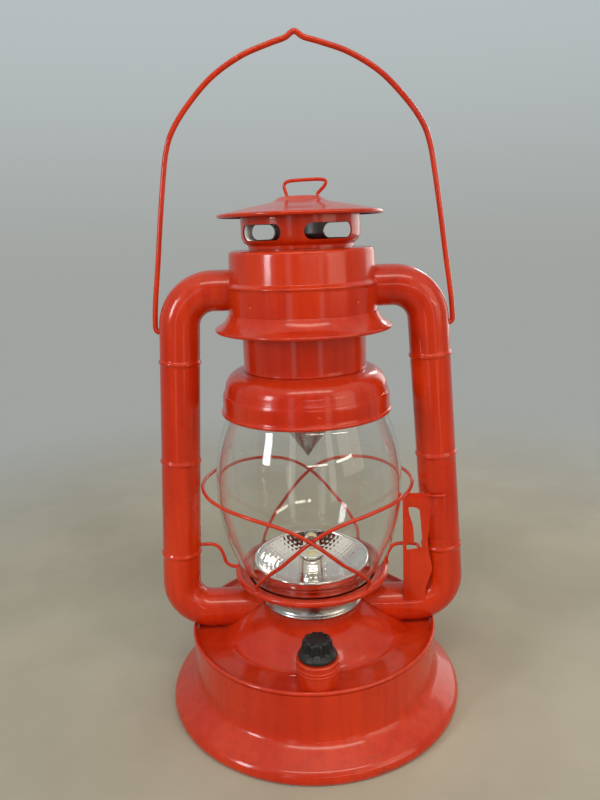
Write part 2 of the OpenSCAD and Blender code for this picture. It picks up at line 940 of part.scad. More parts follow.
module chimney() {
  color(bright) pipe(chimney_r, chimney_r - sheet, neck_top_z - 1, 259);
}

// Where each vent slot starts, measured from the front towards +X
vent_starts = [-70, 3, 106, 208];
vent_sweep = 52;
vent_slot_z = 264.6;
vent_slot_half = 3.9;
// How far a slot's rounded end takes up
vent_end = 7.3;

// The straight middle of a slot that starts at a
module vent_middle(a) {
  translate([0, 0, vent_slot_z])
    rotate([0, 0, a - 90 + vent_end])
      rotate_extrude(angle = vent_sweep - 2 * vent_end)
        translate([24, -vent_slot_half])
          square([12, 2 * vent_slot_half]);
}

// The round end of a slot, centred on direction a
module vent_round(a) {
  translate([0, 0, vent_slot_z])
    rotate([0, 0, a - 90])
      translate([22.5, 0, 0])
        rotate([0, 90, 0])
          cylinder(r = vent_slot_half - 0.05, h = 15);
}

// Each slot is cut in three steps of its own: its middle, then its two ends
module vent_ring() {
  color(enamel)
    difference() {
      sheet_ring([
        [chimney_r + 0.75, vent_low_z], [chimney_r + 0.75, 258.2], [chimney_r + 2.9, 259.6],
        [vent_r, 262], [vent_r, 275.2]
      ]);
      vent_middle(vent_starts[0]);
      vent_middle(vent_starts[1]);
      vent_middle(vent_starts[2]);
      vent_middle(vent_starts[3]);
      vent_round(vent_starts[0] + vent_end);
      vent_round(vent_starts[0] + vent_sweep - vent_end);
      vent_round(vent_starts[1] + vent_end);
      vent_round(vent_starts[1] + vent_sweep - vent_end);
      vent_round(vent_starts[2] + vent_end);
      vent_round(vent_starts[2] + vent_sweep - vent_end);
      vent_round(vent_starts[3] + vent_end);
      vent_round(vent_starts[3] + vent_sweep - vent_end);
    }
}

module cap() {
  color(enamel) {
    sheet_ring([
      [cap_rim_r, 273.4], [30, 276.2], [20, 277.8], [14.6, 278.7],
      [13.2, 279.6], [11.6, 281.2], [9.6, cap_top_z], [0, cap_top_z]
    ]);
    bead(cap_rim_r - 0.2, 273.1, 1);
  }
}

module cap_ring() {
  color(enamel)
    wire(curve([
      [-6.5, 0, cap_top_z], [-6.5, 0, cap_top_z + 0.4], [-6.5, 0, cap_top_z + 0.8],
      [-7.1, 0, 285], [-7.5, 0, 287.4], [-5.6, 0, 289.2],
      [0.6, 0, 289.8], [10.4, 0, 289.8], [13.5, 0, 288.9], [12.9, 0, 286.6], [10.2, 0, 283.9],
      [9.3, 0, cap_top_z + 0.8], [9.3, 0, cap_top_z + 0.4], [9.3, 0, cap_top_z]
    ], 5), 0.9, [0, 1, 0]);
}

cone_tip_z = 142.7;
cone_r = 31.9;
cone_top_z = 188.7;

module cone_reflector() {
  wall = 0.9;
  color(bright)
    rotate_extrude()
      polygon([
        [0, cone_tip_z], [cone_r, cone_top_z], [cone_r, cone_top_z + wall], [0, cone_tip_z + wall]
      ]);
}

module cone_ring() {
  color(bright)
    pipe(bell_collar_r - sheet - 0.05, bell_collar_r - sheet - 0.65, cone_top_z, 197);
}

// ---- bail ----------------------------------------------------------------------------

// Each end turns in and passes through its tube
bail_half = [
  [72, bail_pivot_z], [76.9, bail_pivot_z], [77.3, bail_pivot_z],
  [bail_leg_x - 0.5, bail_pivot_z + 0.7], [bail_leg_x, bail_pivot_z + 2.2],
  [bail_leg_x, bail_pivot_z + 4],
  [bail_leg_x - 0.3, 223], [77.6, 232], [74.6, 252],
  [71.7, 272.7], [68.6, 292.5], [66.2, 305], [62.6, 314.6], [54.6, 325.8],
  [41.6, 338.9], [26.5, 348.2], [12.5, 353.3], [4.6, 355.7]
];
bail_points = concat(
  [for (p = bail_half) [p[0], 0, p[1]]], [[0, 0, 358.4]],
  [for (i = [last(bail_half):-1:0]) [-bail_half[i][0], 0, bail_half[i][1]]]
);

module bail() {
  color(enamel)
    wire(curve(bail_points, 3), bail_wire_r, [0, 1, 0], 10);
}

base_shell();
base_foot();
fount_dome();
base_plate();
base_screws();
battery_tray();
battery(-1);  // battery_left
battery(0);  // battery_centre
battery(1);  // battery_right
contact_springs();
contact_plates();
door_hinge_pins();
battery_door();
door_screw();
knob_boss();
dimmer();
dimmer_nut();
dimmer_shaft();
knob();
collar();
lamp_holder();
reflector_dish();
led_post();
led_board();
led_chip();
led_lens();
lamp_leads();
tube_left();
tube_right();
lever_plate();
air_chamber();
chamber_skirt();
chimney_guide();
chimney_spring();
globe_plate();
globe();
guard_wire_left();
guard_wire_right();
pivot_wire();
lift_wire();
bell();
neck();
chimney();
vent_ring();
cap();
cap_ring();
cone_reflector();
cone_ring();
bail();
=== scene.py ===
"""Camping lantern of the hurricane type: its dressed pieces, finishes, floor, lamps and camera.

Shapes are written in millimetres and made in metres. +Z is up and the dimmer knob faces -Y.
"""
from math import atan2, cos, degrees, exp, hypot, pi, radians, sin

import bmesh
import bpy
from mathutils import Matrix, Vector


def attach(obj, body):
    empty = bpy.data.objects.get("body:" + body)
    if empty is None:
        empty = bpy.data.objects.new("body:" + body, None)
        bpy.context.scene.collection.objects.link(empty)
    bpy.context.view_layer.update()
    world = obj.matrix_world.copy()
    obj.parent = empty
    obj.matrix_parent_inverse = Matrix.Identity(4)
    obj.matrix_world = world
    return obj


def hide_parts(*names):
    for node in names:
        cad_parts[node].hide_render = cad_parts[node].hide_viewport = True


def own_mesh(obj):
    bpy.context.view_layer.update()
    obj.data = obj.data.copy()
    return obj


MM = 0.001
TURN = 2 * pi
ROUND = 160  # steps round a turned piece
SHEET = 0.7  # thickness of the painted steel

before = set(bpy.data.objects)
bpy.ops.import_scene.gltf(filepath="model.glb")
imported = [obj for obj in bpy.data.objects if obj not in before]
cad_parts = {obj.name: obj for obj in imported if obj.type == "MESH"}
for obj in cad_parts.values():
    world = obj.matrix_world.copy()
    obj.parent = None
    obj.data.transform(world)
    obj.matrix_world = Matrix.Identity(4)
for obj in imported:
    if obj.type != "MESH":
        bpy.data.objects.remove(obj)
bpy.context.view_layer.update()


# ---- lines -----------------------------------------------------------------------------

def arc(centre, radius, start, end, steps=8):
    """Points on an arc, from one direction in degrees to another."""
    turns = [radians(start + (end - start) * i / steps) for i in range(steps + 1)]
    return [(centre[0] + radius * cos(t), centre[1] + radius * sin(t)) for t in turns]


def flowing(points, steps=6):
    """A smooth curve through the points."""
    spots = [Vector(p) for p in points]
    line = []
    for i in range(len(spots) - 1):
        a, b = spots[max(i - 1, 0)], spots[i]
        c, d = spots[i + 1], spots[min(i + 2, len(spots) - 1)]
        for k in range(steps):
            t = k / steps
            line.append(
                0.5 * (2 * b + (c - a) * t + (2 * a - 5 * b + 4 * c - d) * t**2
                       + (3 * b - a - 3 * c + d) * t**3)
            )
    return line + [spots[-1]]


def bent(points, steps=6, closed=False):
    """The points (x, y, reach): each corner is rounded off over its reach on both sides."""
    line = []
    count = len(points)
    for i, (x, y, reach) in enumerate(points):
        here = Vector((x, y))
        if not reach or (not closed and i in (0, count - 1)):
            line.append(here)
            continue
        back = Vector(points[i - 1][:2]) - here
        ahead = Vector(points[(i + 1) % count][:2]) - here
        start = here + back.normalized() * min(reach, back.length * 0.49)
        end = here + ahead.normalized() * min(reach, ahead.length * 0.49)
        for k in range(steps + 1):
            t = k / steps
            line.append(start * (1 - t) ** 2 + here * 2 * t * (1 - t) + end * t * t)
    return line


def walled(path, wall=SHEET):
    """The closed outline of sheet metal whose outer face runs along the path, wall on its left."""
    spots = [Vector(p) for p in path]
    inner = []
    for i, spot in enumerate(spots):
        back = (spot - spots[i - 1]).normalized() if i else None
        ahead = (spots[i + 1] - spot).normalized() if i < len(spots) - 1 else None
        across = [Vector((-d.y, d.x)) for d in (back, ahead) if d]
        middle = sum(across, Vector((0, 0)))
        scale = len(across) * wall / max(middle.length_squared / len(across), 0.4)
        inner.append(spot + middle * scale / len(across))
    return spots + inner[::-1]


# ---- pieces ----------------------------------------------------------------------------

def turned(outline, closed=True, steps=ROUND, angle=TURN):
    """A bmesh of the outline of (radius, height) points turned round the Z axis."""
    bm = bmesh.new()
    verts = [bm.verts.new((r * MM, 0, z * MM)) for r, z in outline]
    edges = [bm.edges.new(pair) for pair in zip(verts, verts[1:])]
    if closed:
        edges.append(bm.edges.new((verts[-1], verts[0])))
    whole = angle == TURN
    bmesh.ops.spin(
        bm, geom=verts + edges, cent=(0, 0, 0), axis=(0, 0, 1), angle=angle,
        steps=steps, use_merge=whole,
    )
    bmesh.ops.remove_doubles(bm, verts=bm.verts, dist=2e-7)
    bmesh.ops.recalc_face_normals(bm, faces=bm.faces)
    return bm


def bead(centre, radius, sides=20):
    """The outline of a round bead."""
    return arc(centre, radius, 0, 360 - 360 / sides, sides - 1)


def swept(points, radius, sides=12, swell=None):
    """A bmesh of a solid round bar along the points; swell scales its radius at each."""
    line = bpy.data.curves.new("line", "CURVE")
    line.dimensions = "3D"
    line.bevel_depth = radius * MM
    line.bevel_resolution = (sides - 4) // 2
    line.use_fill_caps = True
    spline = line.splines.new("POLY")
    spline.points.add(len(points) - 1)
    for i, (point, spot) in enumerate(zip(spline.points, points)):
        point.co = (*(Vector(spot) * MM), 1)
        point.radius = swell[i] if swell else 1
    holder = bpy.data.objects.new("line", line)
    bpy.context.collection.objects.link(holder)
    mesh = bpy.data.meshes.new_from_object(
        holder.evaluated_get(bpy.context.evaluated_depsgraph_get())
    )
    bm = bmesh.new()
    bm.from_mesh(mesh)
    bpy.data.objects.remove(holder)
    bpy.data.curves.remove(line)
    bpy.data.meshes.remove(mesh)
    bmesh.ops.remove_doubles(bm, verts=bm.verts, dist=1e-7)
    bmesh.ops.recalc_face_normals(bm, faces=bm.faces)
    return bm


def filled(bm):
    """The bmesh with its open ends closed."""
    bmesh.ops.holes_fill(bm, edges=[e for e in bm.edges if e.is_boundary])
    bmesh.ops.recalc_face_normals(bm, faces=bm.faces)
    return bm


def joined(*parts):
    """One bmesh that holds all the parts."""
    whole = parts[0]
    for part in parts[1:]:
        mesh = bpy.data.meshes.new("part")
        part.to_mesh(mesh)
        whole.from_mesh(mesh)
        part.free()
        bpy.data.meshes.remove(mesh)
    return whole


def moved(bm, x=0, y=0, z=0):
    """The bmesh, shifted by millimetres."""
    bmesh.ops.translate(bm, verts=bm.verts, vec=Vector((x, y, z)) * MM)
    return bm


def rotated(bm, angle, axis):
    """The bmesh, turned by degrees about an axis through the origin."""
    turn = Matrix.Rotation(radians(angle), 3, axis)
    bmesh.ops.rotate(bm, verts=bm.verts, cent=(0, 0, 0), matrix=turn)
    return bm


def mirrored(bm):
    """The bmesh, mirrored from right to left."""
    bmesh.ops.scale(bm, verts=bm.verts, vec=(-1, 1, 1))
    bmesh.ops.reverse_faces(bm, faces=bm.faces)
    return bm


def rod(start, end, radius, sides=32):
    """A straight round bar between two points."""
    a, b = Vector(start) * MM, Vector(end) * MM
    bm = bmesh.new()
    bmesh.ops.create_cone(
        bm, cap_ends=True, segments=sides, radius1=radius * MM, radius2=radius * MM,
        depth=(b - a).length,
    )
    turn = Vector((0, 0, 1)).rotation_difference(b - a).to_matrix()
    bmesh.ops.rotate(bm, verts=bm.verts, cent=(0, 0, 0), matrix=turn)
    bmesh.ops.translate(bm, verts=bm.verts, vec=(a + b) / 2)
    return bm


def block(low, high):
    """A box between two opposite corners."""
    bm = bmesh.new()
    bmesh.ops.create_cube(bm, size=1)
    size = Vector(high) - Vector(low)
    bmesh.ops.scale(bm, verts=bm.verts, vec=size * MM)
    bmesh.ops.translate(bm, verts=bm.verts, vec=(Vector(low) + Vector(high)) / 2 * MM)
    return bm


def ball(centre, radius):
    """A round ball."""
    bm = bmesh.new()
    bmesh.ops.create_uvsphere(bm, u_segments=32, v_segments=20, radius=radius * MM)
    bmesh.ops.translate(bm, verts=bm.verts, vec=Vector(centre) * MM)
    return bm


def cut(bm, *cutters):
    """The bmesh with the closed cutters taken away from it."""
    mesh = bpy.data.meshes.new("cut")
    bm.to_mesh(mesh)
    bm.free()
    body = bpy.data.objects.new("cut", mesh)
    bpy.context.collection.objects.link(body)
    tools = []
    for cutter in cutters:
        shape = bpy.data.meshes.new("cutter")
        cutter.to_mesh(shape)
        cutter.free()
        tool = bpy.data.objects.new("cutter", shape)
        bpy.context.collection.objects.link(tool)
        tools.append(tool)
        step = body.modifiers.new("cut", "BOOLEAN")
        step.operation = "DIFFERENCE"
        step.solver = "EXACT"
        step.object = tool
    result = bpy.data.meshes.new_from_object(
        body.evaluated_get(bpy.context.evaluated_depsgraph_get())
    )
    bm = bmesh.new()
    bm.from_mesh(result)
    for made in (body, *tools):
        shape = made.data
        bpy.data.objects.remove(made)
        bpy.data.meshes.remove(shape)
    bpy.data.meshes.remove(result)
    bmesh.ops.remove_doubles(bm, verts=bm.verts, dist=1e-7)
    return bm


RUB_REACH = 1.6  # how far from a crest the rubbing fades


def piece(name, bm, body, finish, nodes=(), sharp=35, crests=()):
    """A finished object of the bmesh, which rides on a body and takes the place of nodes.

    crests are (radius, height) circles where hands and shelves rub the finish.
    """
    mesh = bpy.data.meshes.new(name)
    bm.to_mesh(mesh)
    bm.free()
    for polygon in mesh.polygons:
        polygon.use_smooth = True
    mesh.set_sharp_from_angle(angle=radians(sharp))
    obj = bpy.data.objects.new(name, mesh)
    bpy.context.collection.objects.link(obj)
    if crests:
        rub = mesh.attributes.new("rub", "FLOAT", "POINT")
        for vert in mesh.vertices:
            r, z = hypot(vert.co.x, vert.co.y) / MM, vert.co.z / MM
            near = min(hypot(r - cr, z - cz) for cr, cz in crests)
            rub.data[vert.index].value = exp(-((near / RUB_REACH) ** 2))
    paint(obj, finish)
    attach(obj, body)
    if nodes:
        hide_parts(*nodes)
    return obj


def paint(obj, finish):
    """Gives the object one finish all over."""
    obj.data.materials.clear()
    obj.data.materials.append(FINISHES[finish])


# ---- finishes --------------------------------------------------------------------------

def add(tree, kind, inputs=None, **settings):
    """A node with its settings, whose inputs are values or other nodes' outputs."""
    node = tree.nodes.new("ShaderNode" + kind)
    for name, value in settings.items():
        setattr(node, name, value)
    for name, value in (inputs or {}).items():
        socket = node.inputs[name]
        if isinstance(value, bpy.types.NodeSocket):
            tree.links.new(value, socket)
        else:
            socket.default_value = value
    return node


def maths(tree, operation, a, b):
    """One sum of two values or sockets."""
    return add(tree, "Math", {0: a, 1: b}, operation=operation).outputs["Value"]


def ramp(tree, value, low, high):
    """A soft step from 0 to 1 as the value goes from low to high."""
    return add(tree, "MapRange", {"Value": value, "From Min": low, "From Max": high},
               interpolation_type="SMOOTHSTEP").outputs["Result"]


def group(name, sockets):
    """An empty shader node group, its input node and its output node."""
    tree = bpy.data.node_groups.new(name, "ShaderNodeTree")
    for label, kind, way in sockets:
        tree.interface.new_socket(label, in_out=way, socket_type="NodeSocket" + kind)
    return tree, tree.nodes.new("NodeGroupInput"), tree.nodes.new("NodeGroupOutput")


def make_grain():
    """Fine uneven height, coarse ripple and fine tooth together."""
    tree, given, out = group("grain", [
        ("Ripple", "Float", "INPUT"), ("Tooth", "Float", "INPUT"),
        ("Tooth share", "Float", "INPUT"), ("Height", "Float", "OUTPUT"),
    ])
    place = add(tree, "TexCoord").outputs["Object"]
    ripple = add(tree, "TexNoise", {"Vector": place, "Scale": given.outputs["Ripple"],
                                    "Detail": 2.0, "Roughness": 0.45})
    tooth = add(tree, "TexNoise", {"Vector": place, "Scale": given.outputs["Tooth"],
                                   "Detail": 3.0, "Roughness": 0.6})
    both = add(tree, "Mix", {"Factor": given.outputs["Tooth share"]}, data_type="FLOAT")
    tree.links.new(ripple.outputs["Fac"], both.inputs["A"])
    tree.links.new(tooth.outputs["Fac"], both.inputs["B"])
    tree.links.new(both.outputs["Result"], out.inputs["Height"])
    return tree


def make_clouds():
    """A soft patchy mask from 0 to 1, for colour and gloss that vary over a piece."""
    tree, given, out = group("clouds", [
        ("Size", "Float", "INPUT"), ("Low", "Float", "INPUT"), ("High", "Float", "INPUT"),
        ("Mask", "Float", "OUTPUT"),
    ])
    place = add(tree, "TexCoord").outputs["Object"]
    noise = add(tree, "TexNoise", {"Vector": place, "Scale": given.outputs["Size"],
                                   "Detail": 5.0, "Roughness": 0.55})
    fitted = ramp(tree, noise.outputs["Fac"], given.outputs["Low"], given.outputs["High"])
    tree.links.new(fitted, out.inputs["Mask"])
    return tree


def make_dust_and_top_light():
    """Dust that settles on faces that look up, in patches; on the enamel its lighter orange is also
    painted light on those faces.
    """
    tree, given, out = group("dust_and_top_light", [
        ("Amount", "Float", "INPUT"), ("Mask", "Float", "OUTPUT"),
    ])
    facing = add(tree, "SeparateXYZ", {"Vector": add(tree, "NewGeometry").outputs["Normal"]})
    up = ramp(tree, facing.outputs["Z"], 0.15, 0.95)
    place = add(tree, "TexCoord").outputs["Object"]
    noise = add(tree, "TexNoise", {"Vector": place, "Scale": 60.0, "Detail": 8.0,
                                   "Roughness": 0.7})
    patch = add(tree, "MapRange", {"Value": noise.outputs["Fac"], "From Min": 0.35,
                                   "From Max": 0.75})
    lying = maths(tree, "MULTIPLY", up, patch.outputs["Result"])
    scaled = maths(tree, "MULTIPLY", lying, given.outputs["Amount"])
    tree.links.new(scaled, out.inputs["Mask"])
    return tree


def make_rubbed():
    """Where a crest is rubbed, broken up by fine noise; reads the piece's own rub attribute."""
    tree, given, out = group("rubbed", [
        ("Reach", "Float", "INPUT"), ("Mask", "Float", "OUTPUT"),
    ])
    crest = add(tree, "Attribute", attribute_name="rub", attribute_type="GEOMETRY")
    place = add(tree, "TexCoord").outputs["Object"]
    noise = add(tree, "TexNoise", {"Vector": place, "Scale": 420.0, "Detail": 6.0,
                                   "Roughness": 0.7})
    patches = add(tree, "TexNoise", {"Vector": place, "Scale": 34.0, "Detail": 2.0})
    broken = maths(tree, "MULTIPLY", noise.outputs["Fac"], patches.outputs["Fac"])
    strong = maths(tree, "MULTIPLY", broken, crest.outputs["Fac"])
    edge = add(tree, "MapRange", {"Value": strong, "From Min": given.outputs["Reach"],
                                  "From Max": 0.46})
    tree.links.new(edge.outputs["Result"], out.inputs["Mask"])
    return tree


GRAIN, CLOUDS, DUST_AND_TOP_LIGHT, RUBBED = make_grain(), make_clouds(), make_dust_and_top_light(), make_rubbed()


def use(tree, shared, **inputs):
    """The output of a shared group, placed in a tree with its own values."""
    node = tree.nodes.new("ShaderNodeGroup")
    node.node_tree = shared
    for name, value in inputs.items():
        node.inputs[name.replace("_", " ")].default_value = value
    return node.outputs[0]


def blend(tree, factor, a, b):
    """Two colours mixed by a factor; each is a colour or a socket."""
    return add(tree, "Mix", {"Factor": factor, 6: a, 7: b}, data_type="RGBA").outputs[2]


def between(tree, factor, low, high):
    """A value from low to high as factor goes from 0 to 1."""
    return add(tree, "MapRange", {"Value": factor, "To Min": low, "To Max": high}).outputs["Result"]


def bump(tree, height, strength, distance):
    """A normal that is uneven by the height."""
    return add(tree, "Bump", {"Height": height, "Strength": strength, "Distance": distance}
               ).outputs["Normal"]


FINISHES = {}


def new_finish(name, **fixed):
    """A new material: its tree and its Principled shader with the fixed values set."""
    material = bpy.data.materials.new(name)
    material.use_nodes = True
    shader = material.node_tree.nodes["Principled BSDF"]
    for key, value in fixed.items():
        shader.inputs[key.replace("_", " ")].default_value = value
    FINISHES[name] = material
    return material.node_tree, shader


def wire_up(tree, shader, **sockets):
    """Links outputs to the shader's inputs by name."""
    for key, value in sockets.items():
        tree.links.new(value, shader.inputs[key.replace("_", " ")])


def make_enamel():
    """Glossy red enamel: cloudy colour, faint upright streaks of painted reflection, settled dust
    with painted top light, and rubbed crests.
    """
    tree, shader = new_finish("red_enamel", Coat_Weight=0.54, Coat_Roughness=0.11,
                              Specular_IOR_Level=0.16)
    patches = use(tree, CLOUDS, Size=14.0, Low=0.35, High=0.68)
    colour = blend(tree, patches, (0.53, 0.021, 0.0015, 1), (0.64, 0.037, 0.0025, 1))
    place = add(tree, "TexCoord").outputs["Object"]
    # painted reflection: faint darker upright streaks in the colour stand in for bands of the room
    # mirrored in the gloss
    tall = add(tree, "VectorMath", {0: place, 1: (1, 1, 0.04)},
               operation="MULTIPLY").outputs["Vector"]
    painted_reflection_streaks = add(tree, "TexNoise", {"Vector": tall, "Scale": 260.0, "Detail": 4.0}).outputs["Fac"]
    painted_reflection_streaks = add(tree, "MapRange", {"Value": painted_reflection_streaks, "From Min": 0.42, "From Max": 0.74,
                                     "To Max": 0.55}).outputs["Result"]
    colour = blend(tree, painted_reflection_streaks, colour, (0.4, 0.011, 0.001, 1))
    # partly painted light: the lighter orange on faces that look up is dust and also a painted warm
    # light from above
    dust_and_top_light = use(tree, DUST_AND_TOP_LIGHT, Amount=0.14)
    colour = blend(tree, dust_and_top_light, colour, (0.6, 0.17, 0.08, 1))
    rubbed = use(tree, RUBBED, Reach=0.33)
    colour = blend(tree, rubbed, colour, (0.2, 0.05, 0.03, 1))
    gloss = between(tree, use(tree, CLOUDS, Size=45.0, Low=0.3, High=0.75), 0.24, 0.34)
    dull = maths(tree, "ADD", gloss, dust_and_top_light)
    height = use(tree, GRAIN, Ripple=170.0, Tooth=900.0, Tooth_share=0.1)
    wire_up(tree, shader, Base_Color=colour, Roughness=dull,
            Normal=bump(tree, height, 0.12, 0.0006))


def make_moulded(name, dark, light, rough):
    """Moulded plastic with a fine grain and slightly uneven gloss."""
    tree, shader = new_finish(name, Specular_IOR_Level=0.3)
    patches = use(tree, CLOUDS, Size=30.0, Low=0.35, High=0.7)
    colour = blend(tree, patches, dark, light)
    dust_and_top_light = use(tree, DUST_AND_TOP_LIGHT, Amount=0.06)
    colour = blend(tree, dust_and_top_light, colour, (0.3, 0.28, 0.25, 1))
    height = use(tree, GRAIN, Ripple=500.0, Tooth=2200.0, Tooth_share=0.5)
    wire_up(tree, shader, Base_Color=colour, Roughness=between(tree, patches, rough, rough + 0.12),
            Normal=bump(tree, height, 0.25, 0.0002))


TARNISH = (0.35, 0.3, 0.24, 1)


def make_metal(name, dark, light, low, high, ripple=60.0, stain=0.3):
    """Bare or plated metal with smears in its gloss, roughness low to high, and tarnish."""
    tree, shader = new_finish(name, Metallic=1.0)
    patches = use(tree, CLOUDS, Size=40.0, Low=0.3, High=0.75)
    colour = blend(tree, patches, dark, light)
    spots = use(tree, CLOUDS, Size=120.0, Low=0.62, High=0.8)
    spots = maths(tree, "MULTIPLY", spots, stain)
    colour = blend(tree, spots, colour, TARNISH)
    smears = use(tree, CLOUDS, Size=75.0, Low=0.3, High=0.8)
    height = use(tree, GRAIN, Ripple=ripple, Tooth=1200.0, Tooth_share=0.15)
    wire_up(tree, shader, Base_Color=colour, Roughness=between(tree, smears, low, high),
            Normal=bump(tree, height, 0.1, 0.0005))


def make_glass(name, tint, rough=0.0):
    """Clear glass with a faint waviness, which lets the lamps through."""
    tree, shader = new_finish(name, Base_Color=tint, Transmission_Weight=1.0, IOR=1.45,
                              Metallic=0.0, Roughness=rough)
    height = use(tree, GRAIN, Ripple=22.0, Tooth=300.0, Tooth_share=0.05)
    wire_up(tree, shader, Normal=bump(tree, height, 0.03, 0.001))
    clear = add(tree, "BsdfTransparent", {"Color": [c * c * 0.94 for c in tint[:3]] + [1]})
    lamps = add(tree, "LightPath").outputs["Is Shadow Ray"]
    through = add(tree, "MixShader", {0: lamps, 1: shader.outputs[0], 2: clear.outputs[0]})
    tree.links.new(through.outputs[0], tree.nodes["Material Output"].inputs["Surface"])


def make_wrap():
    """Shrink film round a cell, dark towards the front and copper towards the back."""
    tree, shader = new_finish("cell_wrap", Roughness=0.3, Coat_Weight=0.4)
    along = add(tree, "SeparateXYZ", {"Vector": add(tree, "TexCoord").outputs["Object"]})
    band = add(tree, "MapRange", {"Value": along.outputs["Y"], "From Min": 8 * MM,
                                  "From Max": 8.5 * MM})
    patches = use(tree, CLOUDS, Size=60.0, Low=0.3, High=0.7)
    copper = blend(tree, patches, (0.5, 0.2, 0.05, 1), (0.6, 0.26, 0.07, 1))
    sleeve = blend(tree, band.outputs["Result"], (0.03, 0.03, 0.03, 1), copper)
    wire_up(tree, shader, Base_Color=sleeve,
            Metallic=between(tree, band.outputs["Result"], 0.0, 0.7))


make_enamel()
make_moulded("black_plastic", (0.006, 0.006, 0.0065, 1), (0.013, 0.013, 0.0135, 1), 0.27)
make_moulded("board_white", (0.6, 0.61, 0.58, 1), (0.7, 0.7, 0.67, 1), 0.35)
make_moulded("lead_insulation", (0.3, 0.02, 0.02, 1), (0.4, 0.03, 0.02, 1), 0.45)
make_moulded("phosphor", (0.66, 0.58, 0.3, 1), (0.74, 0.66, 0.36, 1), 0.5)
make_metal("bright_chrome", (0.78, 0.77, 0.75, 1), (0.88, 0.87, 0.85, 1), 0.04, 0.13)
make_metal("worn_chrome", (0.4, 0.39, 0.39, 1), (0.54, 0.53, 0.52, 1), 0.22, 0.38, ripple=90.0)
make_metal("zinc_steel", (0.5, 0.5, 0.49, 1), (0.62, 0.62, 0.6, 1), 0.3, 0.45)
make_metal("bare_tin", (0.66, 0.65, 0.63, 1), (0.78, 0.77, 0.74, 1), 0.16, 0.34, stain=0.5)
make_glass("clear_glass", (0.962, 0.957, 0.94, 1))
make_glass("clear_lens", (0.97, 0.975, 0.97, 1), rough=0.05)
make_wrap()


# ---- base ------------------------------------------------------------------------------

FOOT = flowing([
    (79.5, 0.5), (82.3, 0.5), (83.5, 1), (84, 2.2), (83.95, 3.6), (83.4, 5.3), (82.2, 6.9),
    (80.4, 8.2), (76.3, 11), (72.6, 13.6), (71, 15.6), (70.4, 18.4), (70.2, 24), (70.1, 33),
    (70.1, 40.9),
])
BASE_SHEET = 0.8
SHOULDER = (69.4, 42.1)  # centre of the bead round the top of the wall
SHOULDER_POINTS = 12  # the dome's first points lie on that bead
DOME_FOOT, DOME_TOP, DOME_FLAT = (51, 41.3), 58, 29.5
dome_z = (DOME_TOP**2 - DOME_FOOT[1] ** 2 + DOME_FLAT**2 - DOME_FOOT[0] ** 2) / (
    2 * (DOME_TOP - DOME_FOOT[1])
)
dome_r = hypot(DOME_FOOT[0], DOME_FOOT[1] - dome_z)
dome_from = degrees(atan2(DOME_FOOT[1] - dome_z, DOME_FOOT[0])) + 0.8
dome_to = degrees(atan2(DOME_TOP - dome_z, DOME_FLAT)) - 1.2
DOME = [
    *arc(SHOULDER, 1.15, -52, 155, 14),
    *bent([
        (68.2, 42.3, 0), (67.1, 40.6, 1.5), (53, 40.6, 2.2),
        (*arc((0, dome_z), dome_r, dome_from, dome_to, 1)[0], 0),
    ])[:-1],
    *arc((0, dome_z), dome_r, dome_from, dome_to, 26),
    *bent([
        (*arc((0, dome_z), dome_r, dome_to, dome_to, 1)[0], 0), (DOME_FLAT - 0.6, DOME_TOP, 0.9),
        (22, DOME_TOP, 0),
    ])[1:],
]
KNOB_AT = (1.3, -58.2)


def over_dome(gap):
    """A solid that fills the dome and stands gap above its face."""
    above = [
        (r + (gap if i < SHOULDER_POINTS else 0), z + gap) for i, (r, z) in enumerate(DOME)
    ]
    return turned([(0, DOME_TOP + gap), *reversed(above[:-1]), (72, 40.9), (72, 24), (0, 24)],
                  closed=False, steps=96)


def make_base():
    """The flared wall and the dome, which has a hole for the dimmer."""
    piece("base_shell", turned(walled(FOOT, BASE_SHEET)), "frame", "red_enamel",
          ["base_shell", "base_foot"], crests=[(83.9, 3), (79.5, 9)])
    knob_hole = rod((*KNOB_AT, 30), (*KNOB_AT, 60), 8.9)
    piece("fount_dome", cut(turned(walled(DOME, BASE_SHEET)), knob_hole), "frame", "red_enamel",
          ["fount_dome"], crests=[(69.6, 43.2)])


make_base()


# ---- dimmer ----------------------------------------------------------------------------

FLUTES, FLUTE_DEPTH = 10, 1.15
GRIP_LOW, GRIP_IN = 59.2, 5.2  # the flutes fade out below this height and inside this radius


def fluted(bm):
    """The knob's body with a hollow flute between every two of its ribs."""
    for vert in bm.verts:
        r, z = hypot(vert.co.x, vert.co.y) / MM, vert.co.z / MM
        if z > GRIP_LOW and r > GRIP_IN:
            off = (degrees(atan2(vert.co.y, vert.co.x)) + 3) * FLUTES / 360 % 1 - 0.5
            hollow = max(cos(off * 1.5 * pi), 0) ** 0.8
            share = min((z - GRIP_LOW) / 1.2, 1) * min((r - GRIP_IN) / 1.4, 1)
            scale = 1 - FLUTE_DEPTH * hollow * share / r
            vert.co.x *= scale
            vert.co.y *= scale
    return bm


